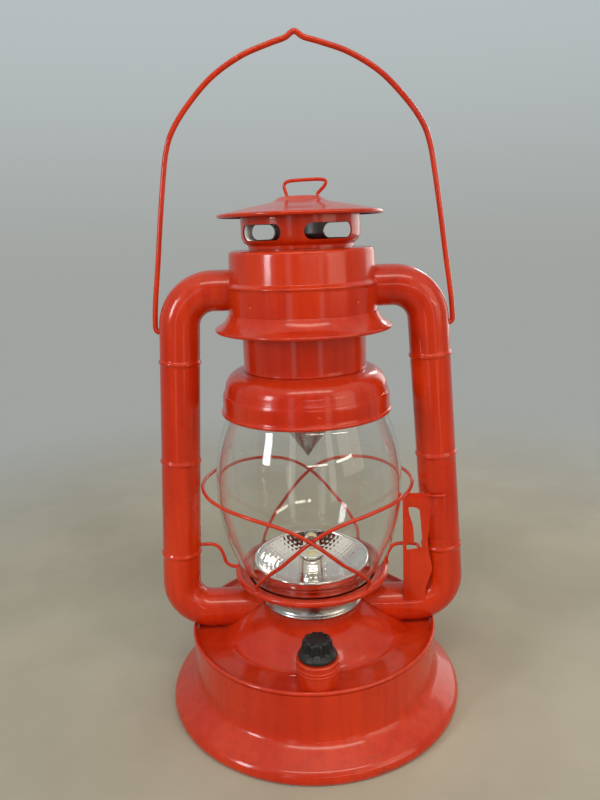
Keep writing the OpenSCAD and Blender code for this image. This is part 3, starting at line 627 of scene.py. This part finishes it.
def make_dimmer():
    """The red cup on the dome and the black knob in it."""
    cup = bent([(10.65, 37, 0), (10.65, 48.6, 0.3)])
    for ridge in (50, 51.8):
        cup += arc((10.6, ridge), 0.55, -90, 90, 8)
    cup += bent([(10.65, 53.4, 0.3), (10.65, 53.9, 0.3), (11.1, 54.4, 0.3), (11.1, 55.2, 0.5),
                 (10.5, 55.8, 0.4), (3.7, 55.8, 0)])
    piece("knob_boss", moved(turned(walled(cup, 0.9), steps=96), *KNOB_AT), "frame", "red_enamel",
          ["knob_boss"])

    body = bent([
        (3, 57, 0), (7.4, 57, 0.4), (7.4, 56.4, 0.2), (9.5, 56.4, 0.4), (10, 56.9, 0.4),
        (9.9, 57.9, 0.5), (8.9, 59, 0.9), (8.25, 59.9, 0.6), (7.95, 61.5, 0.8), (7.75, 62.6, 0.5),
        (7.6, 64.3, 0.6), (7.1, 65.5, 0.6), (6, 66, 0.6), (4.6, 66, 0.3), (0, 66, 0),
    ], 5)
    grip = filled(fluted(turned(body, closed=False, steps=FLUTES * 16)))
    piece("knob", moved(grip, *KNOB_AT), "knob", "black_plastic", ["knob"], sharp=50)


make_dimmer()


# ---- light unit ------------------------------------------------------------------------

DISH_R, DISH_HOLE_R, DISH_FOOT_R = 31.5, 8, 7.9
DISH_LOW, DISH_RISE, DISH_WALL = 72.9, 9.3, 0.6
SCALLOP_RINGS, SCALLOP_STEPS, SCALLOP_WIDTH, SCALLOP_DEPTH = 9, 6, 2.8, 0.17


def dish_sheet(radii, drop=0, steps=ROUND):
    """The dish's curved face, lower by drop."""
    line = [
        (r, DISH_LOW - drop + DISH_RISE * ((r - DISH_FOOT_R) / (DISH_R - DISH_FOOT_R)) ** 2)
        for r in radii
    ]
    return turned(line, closed=False, steps=steps)


def scalloped(bm):
    """The dish's face with rings of shallow scallops pressed into it."""
    span = DISH_R - DISH_HOLE_R
    for vert in bm.verts:
        along = (DISH_R - hypot(vert.co.x, vert.co.y) / MM) / span * SCALLOP_RINGS
        ring = min(int(along + 1e-4), SCALLOP_RINGS - 1)
        middle_r = DISH_R - span * (ring + 0.5) / SCALLOP_RINGS
        count = round(TURN * middle_r / SCALLOP_WIDTH)
        round_it = atan2(vert.co.y, vert.co.x) / TURN * count + 0.5 * (ring % 2)
        hollow = abs(sin(pi * (along - ring))) * abs(sin(pi * round_it))
        vert.co.z -= SCALLOP_DEPTH * hollow * MM
    return bm


def make_light_unit():
    """Collar, scalloped dish, post and lens in the middle of the globe."""
    collar = bent([
        (22.5, 58.05, 0), (29, 58.05, 0.3), (29.3, 58.5, 0.3), (29.1, 59.1, 0.4), (28.2, 60, 0.8),
        (27.6, 62, 1), (27.6, 71.3, 0),
    ])
    piece("collar", turned(walled(collar, 0.6)), "frame", "worn_chrome", ["collar"])

    cup = bent([(27.7, 71.4, 0), (29, 74.5, 1.4), (31.9, 81.9, 0)])
    steps = SCALLOP_RINGS * SCALLOP_STEPS
    radii = [DISH_R + (DISH_HOLE_R - DISH_R) * i / steps for i in range(steps + 1)]
    face = scalloped(dish_sheet(radii, steps=288))
    back = dish_sheet(radii[::SCALLOP_STEPS], drop=DISH_WALL)
    piece("reflector_dish", joined(
        turned(walled(cup, 0.5)), turned(bead((32.3, 82.3), 0.9)), back, face
    ), "frame", "bright_chrome", ["reflector_dish"])

    post = bent([
        (9.9, 60.7, 0), (9.9, 61.3, 0.2), (7.9, 61.3, 0.4), (7.9, 84.6, 0.3), (7.5, 85, 0.2),
        (7.3, 84.6, 0), (7.3, 60.7, 0),
    ], 4)
    piece("led_post", turned(post, steps=96), "frame", "bright_chrome", ["led_post"])

    lens = bent([
        (0, 84.2, 0), (7.25, 84.2, 0), (7.25, 85.4, 0.2), (5.6, 85.7, 0.4), (5, 89, 0.4),
        (4.7, 92, 1.2), (2.8, 95.7, 1.8), (0, 96.5, 0),
    ], 6)
    piece("led_lens", turned(lens, closed=False, steps=64), "frame", "clear_lens", ["led_lens"])


make_light_unit()


# ---- side tubes ------------------------------------------------------------------------

TUBE_R, TUBE_TOP, TUBE_LOW, LEAN = 10.75, 235.8, 51.5, 3.84
UPPER_R, LOWER_R, UPPER_X = 19, 17, 47
TUBE_BEADS, RIB_RISE, RIB_HALF = (198.5, 143, 88), 0.72, 1.7
PIVOT_Z = 215
WIRE_Z, WIRE_GAP, LIFT = 91.5, 1.4, 10
lean_cos, lean_sin = cos(radians(LEAN)), sin(radians(LEAN))
upper_z, lower_z = TUBE_TOP - UPPER_R, TUBE_LOW + LOWER_R
lower_x = UPPER_X + ((upper_z - lower_z) * lean_sin + UPPER_R - LOWER_R) / lean_cos
outward = Vector((lean_cos, 0, lean_sin))
shaft_low = Vector((lower_x, 0, lower_z)) + LOWER_R * outward
shaft_high = Vector((UPPER_X, 0, upper_z)) + UPPER_R * outward


def tube_line(shrink=0):
    """The right tube's centre line from chamber to dome, and its swell at each point."""
    line = [Vector((x, 0, TUBE_TOP)) for x in (37.2, 41, 44, UPPER_X)]
    line += [Vector((x, 0, z)) for x, z in arc((UPPER_X, upper_z), UPPER_R, 90, LEAN, 28)[1:]]
    way = shaft_low - shaft_high
    stops = {i / 12 for i in range(1, 12)}
    for z in TUBE_BEADS:  # closer points where a rib is
        middle = (shaft_high.z - z) / (shaft_high.z - shaft_low.z)
        stops |= {middle + k * 0.32 / way.length for k in range(-6, 7)}
    line += [shaft_high + way * s for s in sorted(stops)] + [shaft_low]
    line += [Vector((x, 0, z)) for x, z in arc((lower_x, lower_z), LOWER_R, LEAN, -90, 28)[1:]]
    line += [Vector((x, 0, TUBE_LOW)) for x in (46, 40, 34, 26)]
    swell = []
    for spot in line:
        rise = 0
        for z in TUBE_BEADS:
            off = abs(spot.z - z) / lean_cos
            if shaft_low.z <= spot.z <= shaft_high.z and off < RIB_HALF:
                rise = max(rise, RIB_RISE * cos(off / RIB_HALF * pi / 2) ** 1.5)
        swell.append((TUBE_R - shrink + rise) / (TUBE_R - shrink))
    return line, swell


def make_tube(side):
    """A hollow side tube with its ribs; side is 1 for the right one and -1 for the left."""
    line, swell = tube_line()
    outer = swept(line, TUBE_R, sides=56, swell=swell)
    line, swell = tube_line(SHEET)
    line = [line[0] - Vector((2, 0, 0)), *line[1:-1], line[-1] - Vector((2, 0, 0))]
    inner = swept(line, TUBE_R - SHEET, sides=56, swell=swell)
    cutters = [inner, over_dome(0.25), rod((0, 0, 40), (0, 0, 80), 29.7, 96),
               rod((70, 0, PIVOT_Z), (95, 0, PIVOT_Z), 1.5)]
    bm = cut(outer, *cutters)
    if side < 0:
        wire_slot = block((-71, -WIRE_GAP, WIRE_Z - WIRE_GAP),
                          (-59, WIRE_GAP, WIRE_Z + LIFT + WIRE_GAP))
        bm = cut(mirrored(bm), wire_slot)
    name = "tube_right" if side > 0 else "tube_left"
    piece(name, bm, "frame", "red_enamel", [name], sharp=40)


make_tube(1)
make_tube(-1)


def along_shaft(height):
    """How far a height is along the right tube's shaft."""
    return (height - shaft_low.z) / lean_cos


LEVER_Y, LEVER_T = -8.7, 0.9
STRAP_FROM, STRAP_SWEEP, STRAP_GAP = 226, 52, 0.03


def make_lever():
    """The slotted plate beside the right tube, with its strap round the tube."""
    outline = bent([
        (51.2, 122, 0.8), (53, 122.6, 0.8), (66.4, 122, 0.4), (66.2, 100, 0), (65.2, 94.4, 1),
        (66, 87.3, 2), (68.2, 76.7, 2), (66.4, 70, 2), (64.6, 66, 2), (64, 57, 0.6),
        (51.9, 57, 0.8), (51.5, 90, 0),
    ], 4, closed=True)
    slot = bent([
        (54.4, 114.4, 1), (58.8, 113.8, 1), (60.7, 112.4, 1), (62.2, 96, 1.6), (62.2, 89.4, 1.2),
        (53.6, 88.4, 1), (53.4, 92.2, 1), (57.8, 93.2, 1.6), (57.2, 103, 3), (55, 110, 2),
    ], 4, closed=True)
    bm = bmesh.new()
    loops = []
    for line in (outline, slot):
        verts = [bm.verts.new((x * MM, LEVER_Y * MM, z * MM)) for x, z in line]
        loops += [bm.edges.new(pair) for pair in zip(verts, verts[1:] + verts[:1])]
    bmesh.ops.triangle_fill(bm, edges=loops, use_beauty=True)
    bmesh.ops.remove_doubles(bm, verts=bm.verts, dist=1e-7)
    front = bmesh.ops.extrude_face_region(bm, geom=bm.faces[:])
    moved_verts = [g for g in front["geom"] if isinstance(g, bmesh.types.BMVert)]
    bmesh.ops.translate(bm, verts=moved_verts, vec=(0, -LEVER_T * MM, 0))
    bmesh.ops.recalc_face_normals(bm, faces=bm.faces)
    rims = [e for e in bm.edges if len(e.link_faces) == 2 and e.calc_face_angle(0) > radians(60)]
    bmesh.ops.bevel(bm, geom=rims, offset=0.18 * MM, segments=2, profile=0.5, affect="EDGES",
                    material=-1)
    line, swell = tube_line()
    plate = cut(bm, swept(line, TUBE_R + 0.02, sides=56, swell=swell))

    low, high = along_shaft(96), along_shaft(96) + 25.8
    inner, outer = TUBE_R + STRAP_GAP, TUBE_R + STRAP_GAP + LEVER_T
    sweep = radians(STRAP_SWEEP)
    band = turned(bent([
        (inner, low, 0.2), (outer, low, 0.2), (outer, high, 0.2), (inner, high, 0.2),
    ], 2, closed=True), steps=36, angle=sweep)
    roll = turned(bead((TUBE_R + 1.05, high - 0.5), 1, 14), steps=36, angle=sweep)
    strap = rotated(joined(filled(band), filled(roll)), STRAP_FROM, "Z")
    moved(rotated(strap, -LEAN, "Y"), *shaft_low)
    piece("lever_plate", joined(plate, strap), "frame", "red_enamel", ["lever_plate"])


make_lever()


# ---- upper chamber ---------------------------------------------------------------------

DENT_R = 1.75  # radius of the balls that press the dimples


def at_angle(angle, radius, height):
    """A point from its direction, measured from the front towards +X."""
    return (radius * sin(radians(angle)), -radius * cos(radians(angle)), height)


def make_chamber():
    """The chamber over the neck, and the flared skirt below it."""
    wall = [
        *bent([(39.4, 224.2, 0), (39.4, 236.6, 0.6), (39.7, 237.2, 0.3)])[:-1],
        *arc((39.1, 238), 0.95, -50, 60, 9),
        *bent([(39.2, 239.2, 0), (38.35, 239.9, 0.5), (37.75, 254.8, 1.2), (36.6, 255.9, 1.4),
               (27, 255.9, 0)])[1:],
    ]
    dents = [
        ball(at_angle(angle, 40.7, z), DENT_R)
        for angle, z in ((-40.9, 229.8), (42.7, 230.7), (180, 230))
    ]
    piece("air_chamber", cut(turned(walled(wall)), *dents), "frame", "red_enamel", ["air_chamber"],
          crests=[(40, 238), (37.5, 255.5)])

    skirt = [
        *arc((45.9, 215.6), 1, -150, 62, 12),
        *flowing([
            (46.1, 216.6), (44.2, 217.7), (42.2, 219.3), (40.7, 221.3), (39.75, 223.1),
        ], 5)[1:],
        *bent([
            (39.5, 223.8, 0.2), (39.3, 224.15, 0.15), (38.65, 224.2, 0.15), (38.65, 229.5, 0),
        ])[1:],
    ]
    piece("chamber_skirt", turned(walled(skirt, 0.6)), "frame", "red_enamel", ["chamber_skirt"],
          crests=[(46.8, 215.6)])


make_chamber()

COIL_R, COIL_WIRE, COIL_LOW, COIL_MIDDLE, COIL_HIGH = 30, 0.8, 226.9, 240.6, 254.3
COIL_TURNS = 2  # in each half


def coil(low, high):
    """A coil of wire between two heights."""
    steps = 48 * COIL_TURNS
    line = []
    for i in range(steps + 1):
        t = TURN * COIL_TURNS * i / steps
        line.append((COIL_R * cos(t), COIL_R * sin(t), low + (high - low) * i / steps))
    return swept(line, COIL_WIRE, 12)


def make_spring():
    """The coil over the neck in two halves, so that it closes up as globe and crown rise."""
    upper = piece("chimney_spring", coil(COIL_MIDDLE, COIL_HIGH), "frame", "zinc_steel",
                  ["chimney_spring"])
    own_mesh(upper)
    lower = piece("chimney_spring_low", coil(COIL_LOW, COIL_MIDDLE), "globe_carrier", "zinc_steel")
    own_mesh(lower)


make_spring()


# ---- globe and its carrier -------------------------------------------------------------

GLASS = 1.8


def make_globe():
    """The glass, the plate that carries it, and a dark ring between them that is painted shade."""
    outer = flowing([
        (35.9, 74.6), (37, 78), (42.6, 85.2), (48.3, 101), (51.2, 117), (51.7, 127), (51.1, 139),
        (49.4, 150.5), (46.4, 161), (44, 168.5), (43.1, 175), (43, 181.6),
    ], 8)
    shell = walled(outer, GLASS)
    half = len(shell) // 2
    rim_top = arc(tuple((shell[half - 1] + shell[half]) / 2), GLASS / 2, 0, 180, 6)
    shell = shell[: half - 1] + rim_top + shell[half + 1 :]
    piece("globe", turned(shell, steps=192), "globe_carrier", "clear_glass", ["globe"])

    web = [
        *arc((42.2, 75.4), 1.8, 150, -160, 20),
        *bent([(40.2, 74.7, 0), (38.2, 74.5, 1), (33.9, 74.5, 0)])[1:],
    ]
    piece("globe_plate", turned(walled(web, -SHEET)), "globe_carrier", "red_enamel",
          ["globe_plate"], crests=[(43.9, 75.4)])
    # painted shade: a thin black ring on the plate under the dish rim stands in for the shade in
    # the gap there
    shade_ring = bent([
        (34.2, 74.6, 0.2), (37.2, 74.6, 0.2), (37.4, 74.9, 0.2), (37.1, 75.2, 0.2),
        (34.2, 75.2, 0.2),
    ], 3, closed=True)
    piece("globe_shade_ring", turned(shade_ring), "globe_carrier", "black_plastic")


make_globe()

GUARD_HALF = [
    (30, -29.68, 77.2), (30, -29.7, 77.7), (30, -29.9, 78.9), (29.5, -34.3, 84),
    (23.7, -42.2, 92.5), (17, -48, 99.5), (11, -51.6, 106), (5.5, -53.5, 111.5),
    (0, -54.4, 116), (-5.2, -54.6, 119.5), (-10.8, -54.3, 122.3), (-18, -52.8, 124.8),
    (-26.5, -49.8, 126.5), (-35, -45.2, 127.8), (-44.5, -37.3, 128.6), (-53, -25, 128.9),
    (-58, -11, 129),
]
GUARD = GUARD_HALF + [(-59.4, 0, 129)] + [(x, -y, z) for x, y, z in reversed(GUARD_HALF)]
INNER_SHARE = 0.964  # the wire that passes inside at the crossing is this much nearer in
WIRE, WIRE_SIDES = 1, 14


def weld(at, radius=1.9):
    """A small puddle of solder under the paint, where a wire stands on the plate."""
    bm = ball((0, 0, 0), radius)
    bmesh.ops.scale(bm, verts=bm.verts, vec=(1, 1, 0.62))
    return moved(bm, *at)


def carrier_wire(name, line, *feet):
    """A wire with its welds, as a piece that rides on the globe carrier."""
    bm = joined(swept(line, WIRE, WIRE_SIDES), *feet)
    piece(name, bm, "globe_carrier", "red_enamel", [name])


def make_guard():
    """The two crossed wires round the globe, the pivot wire and the lift wire."""
    inner = [(-x, y, z) if z < 80 else (-x * INNER_SHARE, y * INNER_SHARE, z - 0.7)
             for x, y, z in GUARD]
    for name, line, x in (("guard_wire_left", GUARD, 30.1), ("guard_wire_right", inner, -30.1)):
        feet = [weld((x, side * 30, 76.6)) for side in (-1, 1)]
        carrier_wire(name, flowing(line, 6), *feet)
    pivot = flowing([
        (-43.6, 0, 76.9), (-46.9, 0, 77.6), (-49.6, 0, 80.1), (-50.8, 0, 84.4), (-52.9, 0, 89.1),
        (-56.6, 0, 91.3), (-62, 0, WIRE_Z), (-68, 0, WIRE_Z),
    ], 8)
    carrier_wire("pivot_wire", pivot, weld((-43.2, 0, 76.9), 1.6))
    lift = flowing([
        (43.2, -0.5, 77.6), (43.3, -1.4, 81.5), (44.6, -2.3, 85.4), (46.6, -3.6, 88.9),
        (49.8, -5, 90.6), (54, -6, 91), (57.8, -6.6, 91), (59.7, -8.4, 91), (60, -13, 91),
    ], 8)
    carrier_wire("lift_wire", lift, weld((43.1, -0.5, 77), 1.6))


make_guard()


# ---- crown -----------------------------------------------------------------------------

VENT_R, CAP_TOP = 30.7, 282
VENT_SLOTS = ((-70, 52), (3, 52), (106, 49), (208, 32))
SLOT_Z, SLOT_HALF, SLOT_END = 264.6, 3.9, 7.3


def slot_cutters(start, sweep):
    """The closed solids that cut one long slot; start and sweep are in degrees."""
    middle = turned(
        [(24, SLOT_Z - SLOT_HALF), (36, SLOT_Z - SLOT_HALF), (36, SLOT_Z + SLOT_HALF),
         (24, SLOT_Z + SLOT_HALF)],
        steps=24, angle=radians(sweep - 2 * SLOT_END),
    )
    rotated(filled(middle), start - 90 + SLOT_END, "Z")
    ends = [
        rod(at_angle(a, 22, SLOT_Z), at_angle(a, 37, SLOT_Z), SLOT_HALF - 0.01, 40)
        for a in (start + SLOT_END, start + sweep - SLOT_END)
    ]
    return [middle, *ends]


def slotted(bm):
    """The ring with all its vent slots cut."""
    return cut(bm, *[c for slot in VENT_SLOTS for c in slot_cutters(*slot)])


def make_crown():
    """Bell, neck, chimney, vent ring, cap with its ring, and the cone under the bell."""
    bell = [
        *arc((45.1, 171.2), 1.2, -170, 70, 14),
        *flowing([(45.2, 172.7), (45.25, 176), (45.1, 179.6), (44.6, 181.6)], 4)[1:],
        *arc((33.4, 183.2), 10.9, -8, -2, 2)[:1],
        *arc((33.4, 183.2), 10.3, 6, 86, 16),
        *bent([(33.4, 193.5, 0), (32.05, 193.8, 0.4), (32.05, 199, 0)])[1:],
    ]
    dent = ball(at_angle(8, 46.6, 177.4), DENT_R)
    piece("bell", cut(turned(walled(bell)), dent), "crown", "red_enamel", ["bell"],
          crests=[(46.1, 171.2), (44.4, 183)])

    neck = [
        *arc((32.75, 194.15), 0.4, -120, 60, 8),
        *bent([
            (32.85, 194.9, 0), (32.8, 196, 0.4), (32.8, 225.2, 0.6), (32, 226, 0.4), (26.6, 226, 0),
        ])[1:],
    ]
    piece("neck", turned(walled(neck)), "crown", "red_enamel", ["neck"])
    piece("chimney", turned(bent([(26.6, 225, 0), (26.6, 259, 0), (25.9, 259, 0), (25.9, 225, 0)])),
          "crown", "red_enamel", ["chimney"])

    ring = bent([
        (27.35, 256.6, 0), (27.35, 258.2, 0.5), (29.5, 259.6, 1), (VENT_R, 262, 1.4),
        (VENT_R, 275.2, 0),
    ])
    piece("vent_ring", slotted(turned(walled(ring))), "crown", "red_enamel", ["vent_ring"],
          sharp=30)
    lining = bent([
        (26.75, 257.2, 0), (26.75, 258.4, 0.5), (28.8, 259.9, 1), (29.94, 262.2, 1.4),
        (29.94, 275, 0),
    ])
    piece("vent_lining", slotted(turned(walled(lining, 0.12))), "crown", "worn_chrome", sharp=30)

    lid = [
        *arc((41.7, 273.1), 1, -120, 75, 12),
        *flowing([
            (41.6, 274.15), (36.5, 275), (30, 276.35), (24, 277.5), (19, 278.4), (15.4, 279.1),
        ], 5)[1:],
        *bent([
            (14.2, 279.4, 0.9), (12.6, 280.3, 1.1), (10.6, 281.6, 1), (9, CAP_TOP, 0.9),
            (0, CAP_TOP, 0),
        ])[1:],
    ]
    under = [Vector((r, z - SHEET)) for r, z in lid[12:-1]] + [Vector((0, CAP_TOP - SHEET))]
    piece("cap", turned([*lid, *reversed(under)], closed=False), "crown", "red_enamel", ["cap"],
          crests=[(42.6, 273), (11.2, 281.6)])
    loop = flowing([
        (-6.5, 0, CAP_TOP), (-6.5, 0, 282.7), (-7.1, 0, 285), (-7.5, 0, 287.4), (-5.6, 0, 289.2),
        (0.6, 0, 289.75), (10.4, 0, 289.8), (13.5, 0, 288.9), (12.9, 0, 286.6), (10.2, 0, 283.9),
        (9.3, 0, 282.7), (9.3, 0, CAP_TOP),
    ], 8)
    piece("cap_ring", swept(loop, 0.9, 14), "crown", "red_enamel", ["cap_ring"])

    cone = bent([
        (0, 142.7, 0), (1, 144.1, 0.4), (31.9, 188.7, 0), (31.9, 189.6, 0), (0, 143.6, 0),
    ])
    piece("cone_reflector", turned(cone, closed=False), "crown", "worn_chrome", ["cone_reflector"])


make_crown()


# ---- bail ------------------------------------------------------------------------------

BAIL_WIRE = 1.4


def make_bail():
    """The carrying wire, from its hook in the right tube over the top to the left one."""
    half = [
        (72, PIVOT_Z), (76.9, PIVOT_Z), (77.7, 215.2), (78.4, 215.7), (78.9, 217.2), (78.9, 219),
        (78.6, 223), (77.6, 232), (74.6, 252), (71.7, 272.7), (68.6, 292.5), (66.2, 305),
        (62.6, 314.6), (54.6, 325.8), (41.6, 338.9), (26.5, 348.2), (12.5, 353.3), (4.6, 355.7),
    ]
    right = [(x, 0, z) for x, z in half]
    line = right + [(0, 0, 358.4)] + [(-x, 0, z) for x, z in reversed(half)]
    piece("bail", swept(flowing(line, 7), BAIL_WIRE, 18), "bail", "red_enamel", ["bail"])


make_bail()


# ---- inner pieces ----------------------------------------------------------------------

INNER = {
    "base_plate": "black_plastic", "battery_tray": "black_plastic", "battery_door": "black_plastic",
    "dimmer": "black_plastic", "lamp_holder": "black_plastic",
    "base_screws": "zinc_steel", "door_screw": "zinc_steel", "door_hinge_pins": "zinc_steel",
    "dimmer_nut": "zinc_steel", "dimmer_shaft": "zinc_steel",
    "battery_left": "cell_wrap", "battery_centre": "cell_wrap", "battery_right": "cell_wrap",
    "contact_springs": "zinc_steel", "contact_plates": "zinc_steel",
    "chimney_guide": "zinc_steel", "cone_ring": "bare_tin",
    "led_board": "board_white", "led_chip": "phosphor", "lamp_leads": "lead_insulation",
}
for node, name in INNER.items():
    paint(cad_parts[node], name)


# ---- floor, lamps and camera -----------------------------------------------------------

BACKDROP = (0.47, 0.515, 0.525, 1)
HORIZON = (0.355, 0.368, 0.35, 1)
NEAR_SIDE = (0.165, 0.158, 0.138, 1)
CEILING = (0.85, 0.83, 0.76, 1)
FLOOR_R, FLOOR_Z = 2.2, -0.0002
FADE_FROM, FADE_TO = 0.16, 0.75
COVERED_R = 0.078  # inside this the floor is open, so that light reaches the underside


def make_floor():
    """A round floor that fades out into the backdrop and can't be seen from below."""
    bm = bmesh.new()
    bmesh.ops.create_circle(bm, cap_ends=True, cap_tris=False, segments=96, radius=FLOOR_R)
    mesh = bpy.data.meshes.new("floor")
    bm.to_mesh(mesh)
    bm.free()
    floor = bpy.data.objects.new("floor", mesh)
    floor.location.z = FLOOR_Z
    bpy.context.collection.objects.link(floor)
    material = bpy.data.materials.new("floor")
    material.use_nodes = True
    tree = material.node_tree
    shader = tree.nodes["Principled BSDF"]
    shader.inputs["Roughness"].default_value = 0.75
    patches = use(tree, CLOUDS, Size=9.0, Low=0.3, High=0.75)
    colour = blend(tree, patches, (0.43, 0.405, 0.31, 1), (0.52, 0.49, 0.385, 1))
    height = use(tree, GRAIN, Ripple=90.0, Tooth=600.0, Tooth_share=0.4)
    wire_up(tree, shader, Base_Color=colour, Normal=bump(tree, height, 0.15, 0.0006))
    place = add(tree, "TexCoord").outputs["Object"]
    far = add(tree, "VectorMath", {0: place}, operation="LENGTH").outputs["Value"]
    fade = add(tree, "MapRange", {"Value": far, "From Min": FADE_FROM, "From Max": FADE_TO},
               interpolation_type="SMOOTHERSTEP").outputs["Result"]
    under = add(tree, "NewGeometry").outputs["Backfacing"]
    covered = maths(tree, "LESS_THAN", far, COVERED_R)
    gone = maths(tree, "MAXIMUM", maths(tree, "MAXIMUM", fade, under), covered)
    clear = add(tree, "BsdfTransparent")
    mixed = add(tree, "MixShader", {0: gone, 1: shader.outputs[0], 2: clear.outputs[0]})
    tree.links.new(mixed.outputs[0], tree.nodes["Material Output"].inputs["Surface"])
    mesh.materials.append(material)


def make_world():
    """Backdrop for what is seen, mirrored or seen through glass; soft light for the rest."""
    world = bpy.data.worlds.new("studio")
    bpy.context.scene.world = world
    world.use_nodes = True
    tree = world.node_tree
    tree.nodes.clear()
    path = add(tree, "LightPath")
    seen = maths(tree, "MAXIMUM", path.outputs["Is Camera Ray"],
                 path.outputs["Is Transmission Ray"])
    seen = maths(tree, "MAXIMUM", seen, path.outputs["Is Glossy Ray"])
    way = add(tree, "SeparateXYZ", {"Vector": add(tree, "TexCoord").outputs["Generated"]})
    rise = ramp(tree, way.outputs["Z"], -0.1, 0.3)
    near = ramp(tree, way.outputs["Y"], 0.35, -0.75)
    high = ramp(tree, way.outputs["Z"], 0.38, 0.8)
    wall = blend(tree, near, blend(tree, rise, HORIZON, BACKDROP), NEAR_SIDE)
    wall = blend(tree, high, wall, CEILING)
    soft = add(tree, "Background", {"Color": (0.96, 0.97, 1, 1),
                                    "Strength": between(tree, near, 0.2, 0.31)})
    back = add(tree, "Background", {"Color": wall, "Strength": 1.0})
    mixed = add(tree, "MixShader", {0: seen, 1: soft.outputs[0], 2: back.outputs[0]})
    out = add(tree, "OutputWorld")
    tree.links.new(mixed.outputs[0], out.inputs["Surface"])


def lamp(name, at, aim, size, power, colour, through_glass=True):
    """A rectangular lamp in metres and watts, which may be hidden behind glass."""
    light = bpy.data.lights.new(name, "AREA")
    light.shape = "RECTANGLE"
    light.size, light.size_y = size
    light.energy = power
    light.color = colour
    obj = bpy.data.objects.new(name, light)
    obj.location = at
    obj.rotation_euler = (Vector(aim) - Vector(at)).to_track_quat("-Z", "Y").to_euler()
    obj.visible_camera = False
    obj.visible_transmission = through_glass
    bpy.context.collection.objects.link(obj)


make_floor()
make_world()
lamp("window", (-0.92, -0.7, 0.5), (0, 0, 0.16), (0.2, 0.4), 5.1, (0.89, 0.95, 1))
lamp("ceiling", (0.1, -0.75, 1.25), (0, 0, 0.14), (1.2, 0.24), 6.6, (1, 0.92, 0.78))
lamp("room", (1.2, -0.85, 0.6), (0, 0, 0.14), (0.8, 1.1), 5.5, (1, 0.87, 0.68),
     through_glass=False)
lamp("rear", (0.5, 1.0, 0.62), (0, 0, 0.16), (0.1, 0.24), 1.0, (1, 0.97, 0.92))
lamp("rear_room", (0.95, 0.9, 0.34), (0, 0, 0.16), (1.0, 0.6), 3.2, (1, 0.95, 0.88),
     through_glass=False)
lamp("tube_front", (0.25, -1.36, 0.42), (0, 0, 0.16), (0.6, 0.035), 0.8, (1, 0.94, 0.82))
lamp("tube_right", (0.96, -0.98, 0.42), (0, 0, 0.16), (0.5, 0.035), 0.8, (1, 0.92, 0.78))
lamp("strip_left", (-0.41, -1.13, 0.3), (0, 0, 0.16), (0.16, 1.0), 0.6, (0.95, 0.98, 1))
lamp("strip_right", (0.56, -1.06, 0.3), (0, 0, 0.16), (0.16, 1.0), 0.7, (1, 0.9, 0.75))

CAMERA_AT = (0, -0.3653, 0.2656)
PITCH, ROLL, YAW = 13.92, -2.08, -0.54  # degrees
SENSOR, LENS = 36, 31.005


def make_camera():
    """The main camera, which looks down at the lantern from the front."""
    camera = bpy.data.objects.new("camera", bpy.data.cameras.new("camera"))
    bpy.context.collection.objects.link(camera)
    bpy.context.scene.camera = camera
    camera.data.sensor_fit = "AUTO"
    camera.data.sensor_width = SENSOR
    camera.data.lens = LENS
    pitch, roll, yaw = radians(PITCH), radians(ROLL), radians(YAW)
    ahead = Vector((sin(yaw) * cos(pitch), cos(yaw) * cos(pitch), -sin(pitch)))
    level = Vector((cos(yaw), -sin(yaw), 0))
    upright = level.cross(ahead)
    right = cos(roll) * level + sin(roll) * upright
    up = -sin(roll) * level + cos(roll) * upright
    turn = Matrix((right, up, -ahead)).transposed()
    camera.matrix_world = Matrix.Translation(CAMERA_AT) @ turn.to_4x4()
    bpy.context.scene.view_settings.view_transform = "Standard"


make_camera()
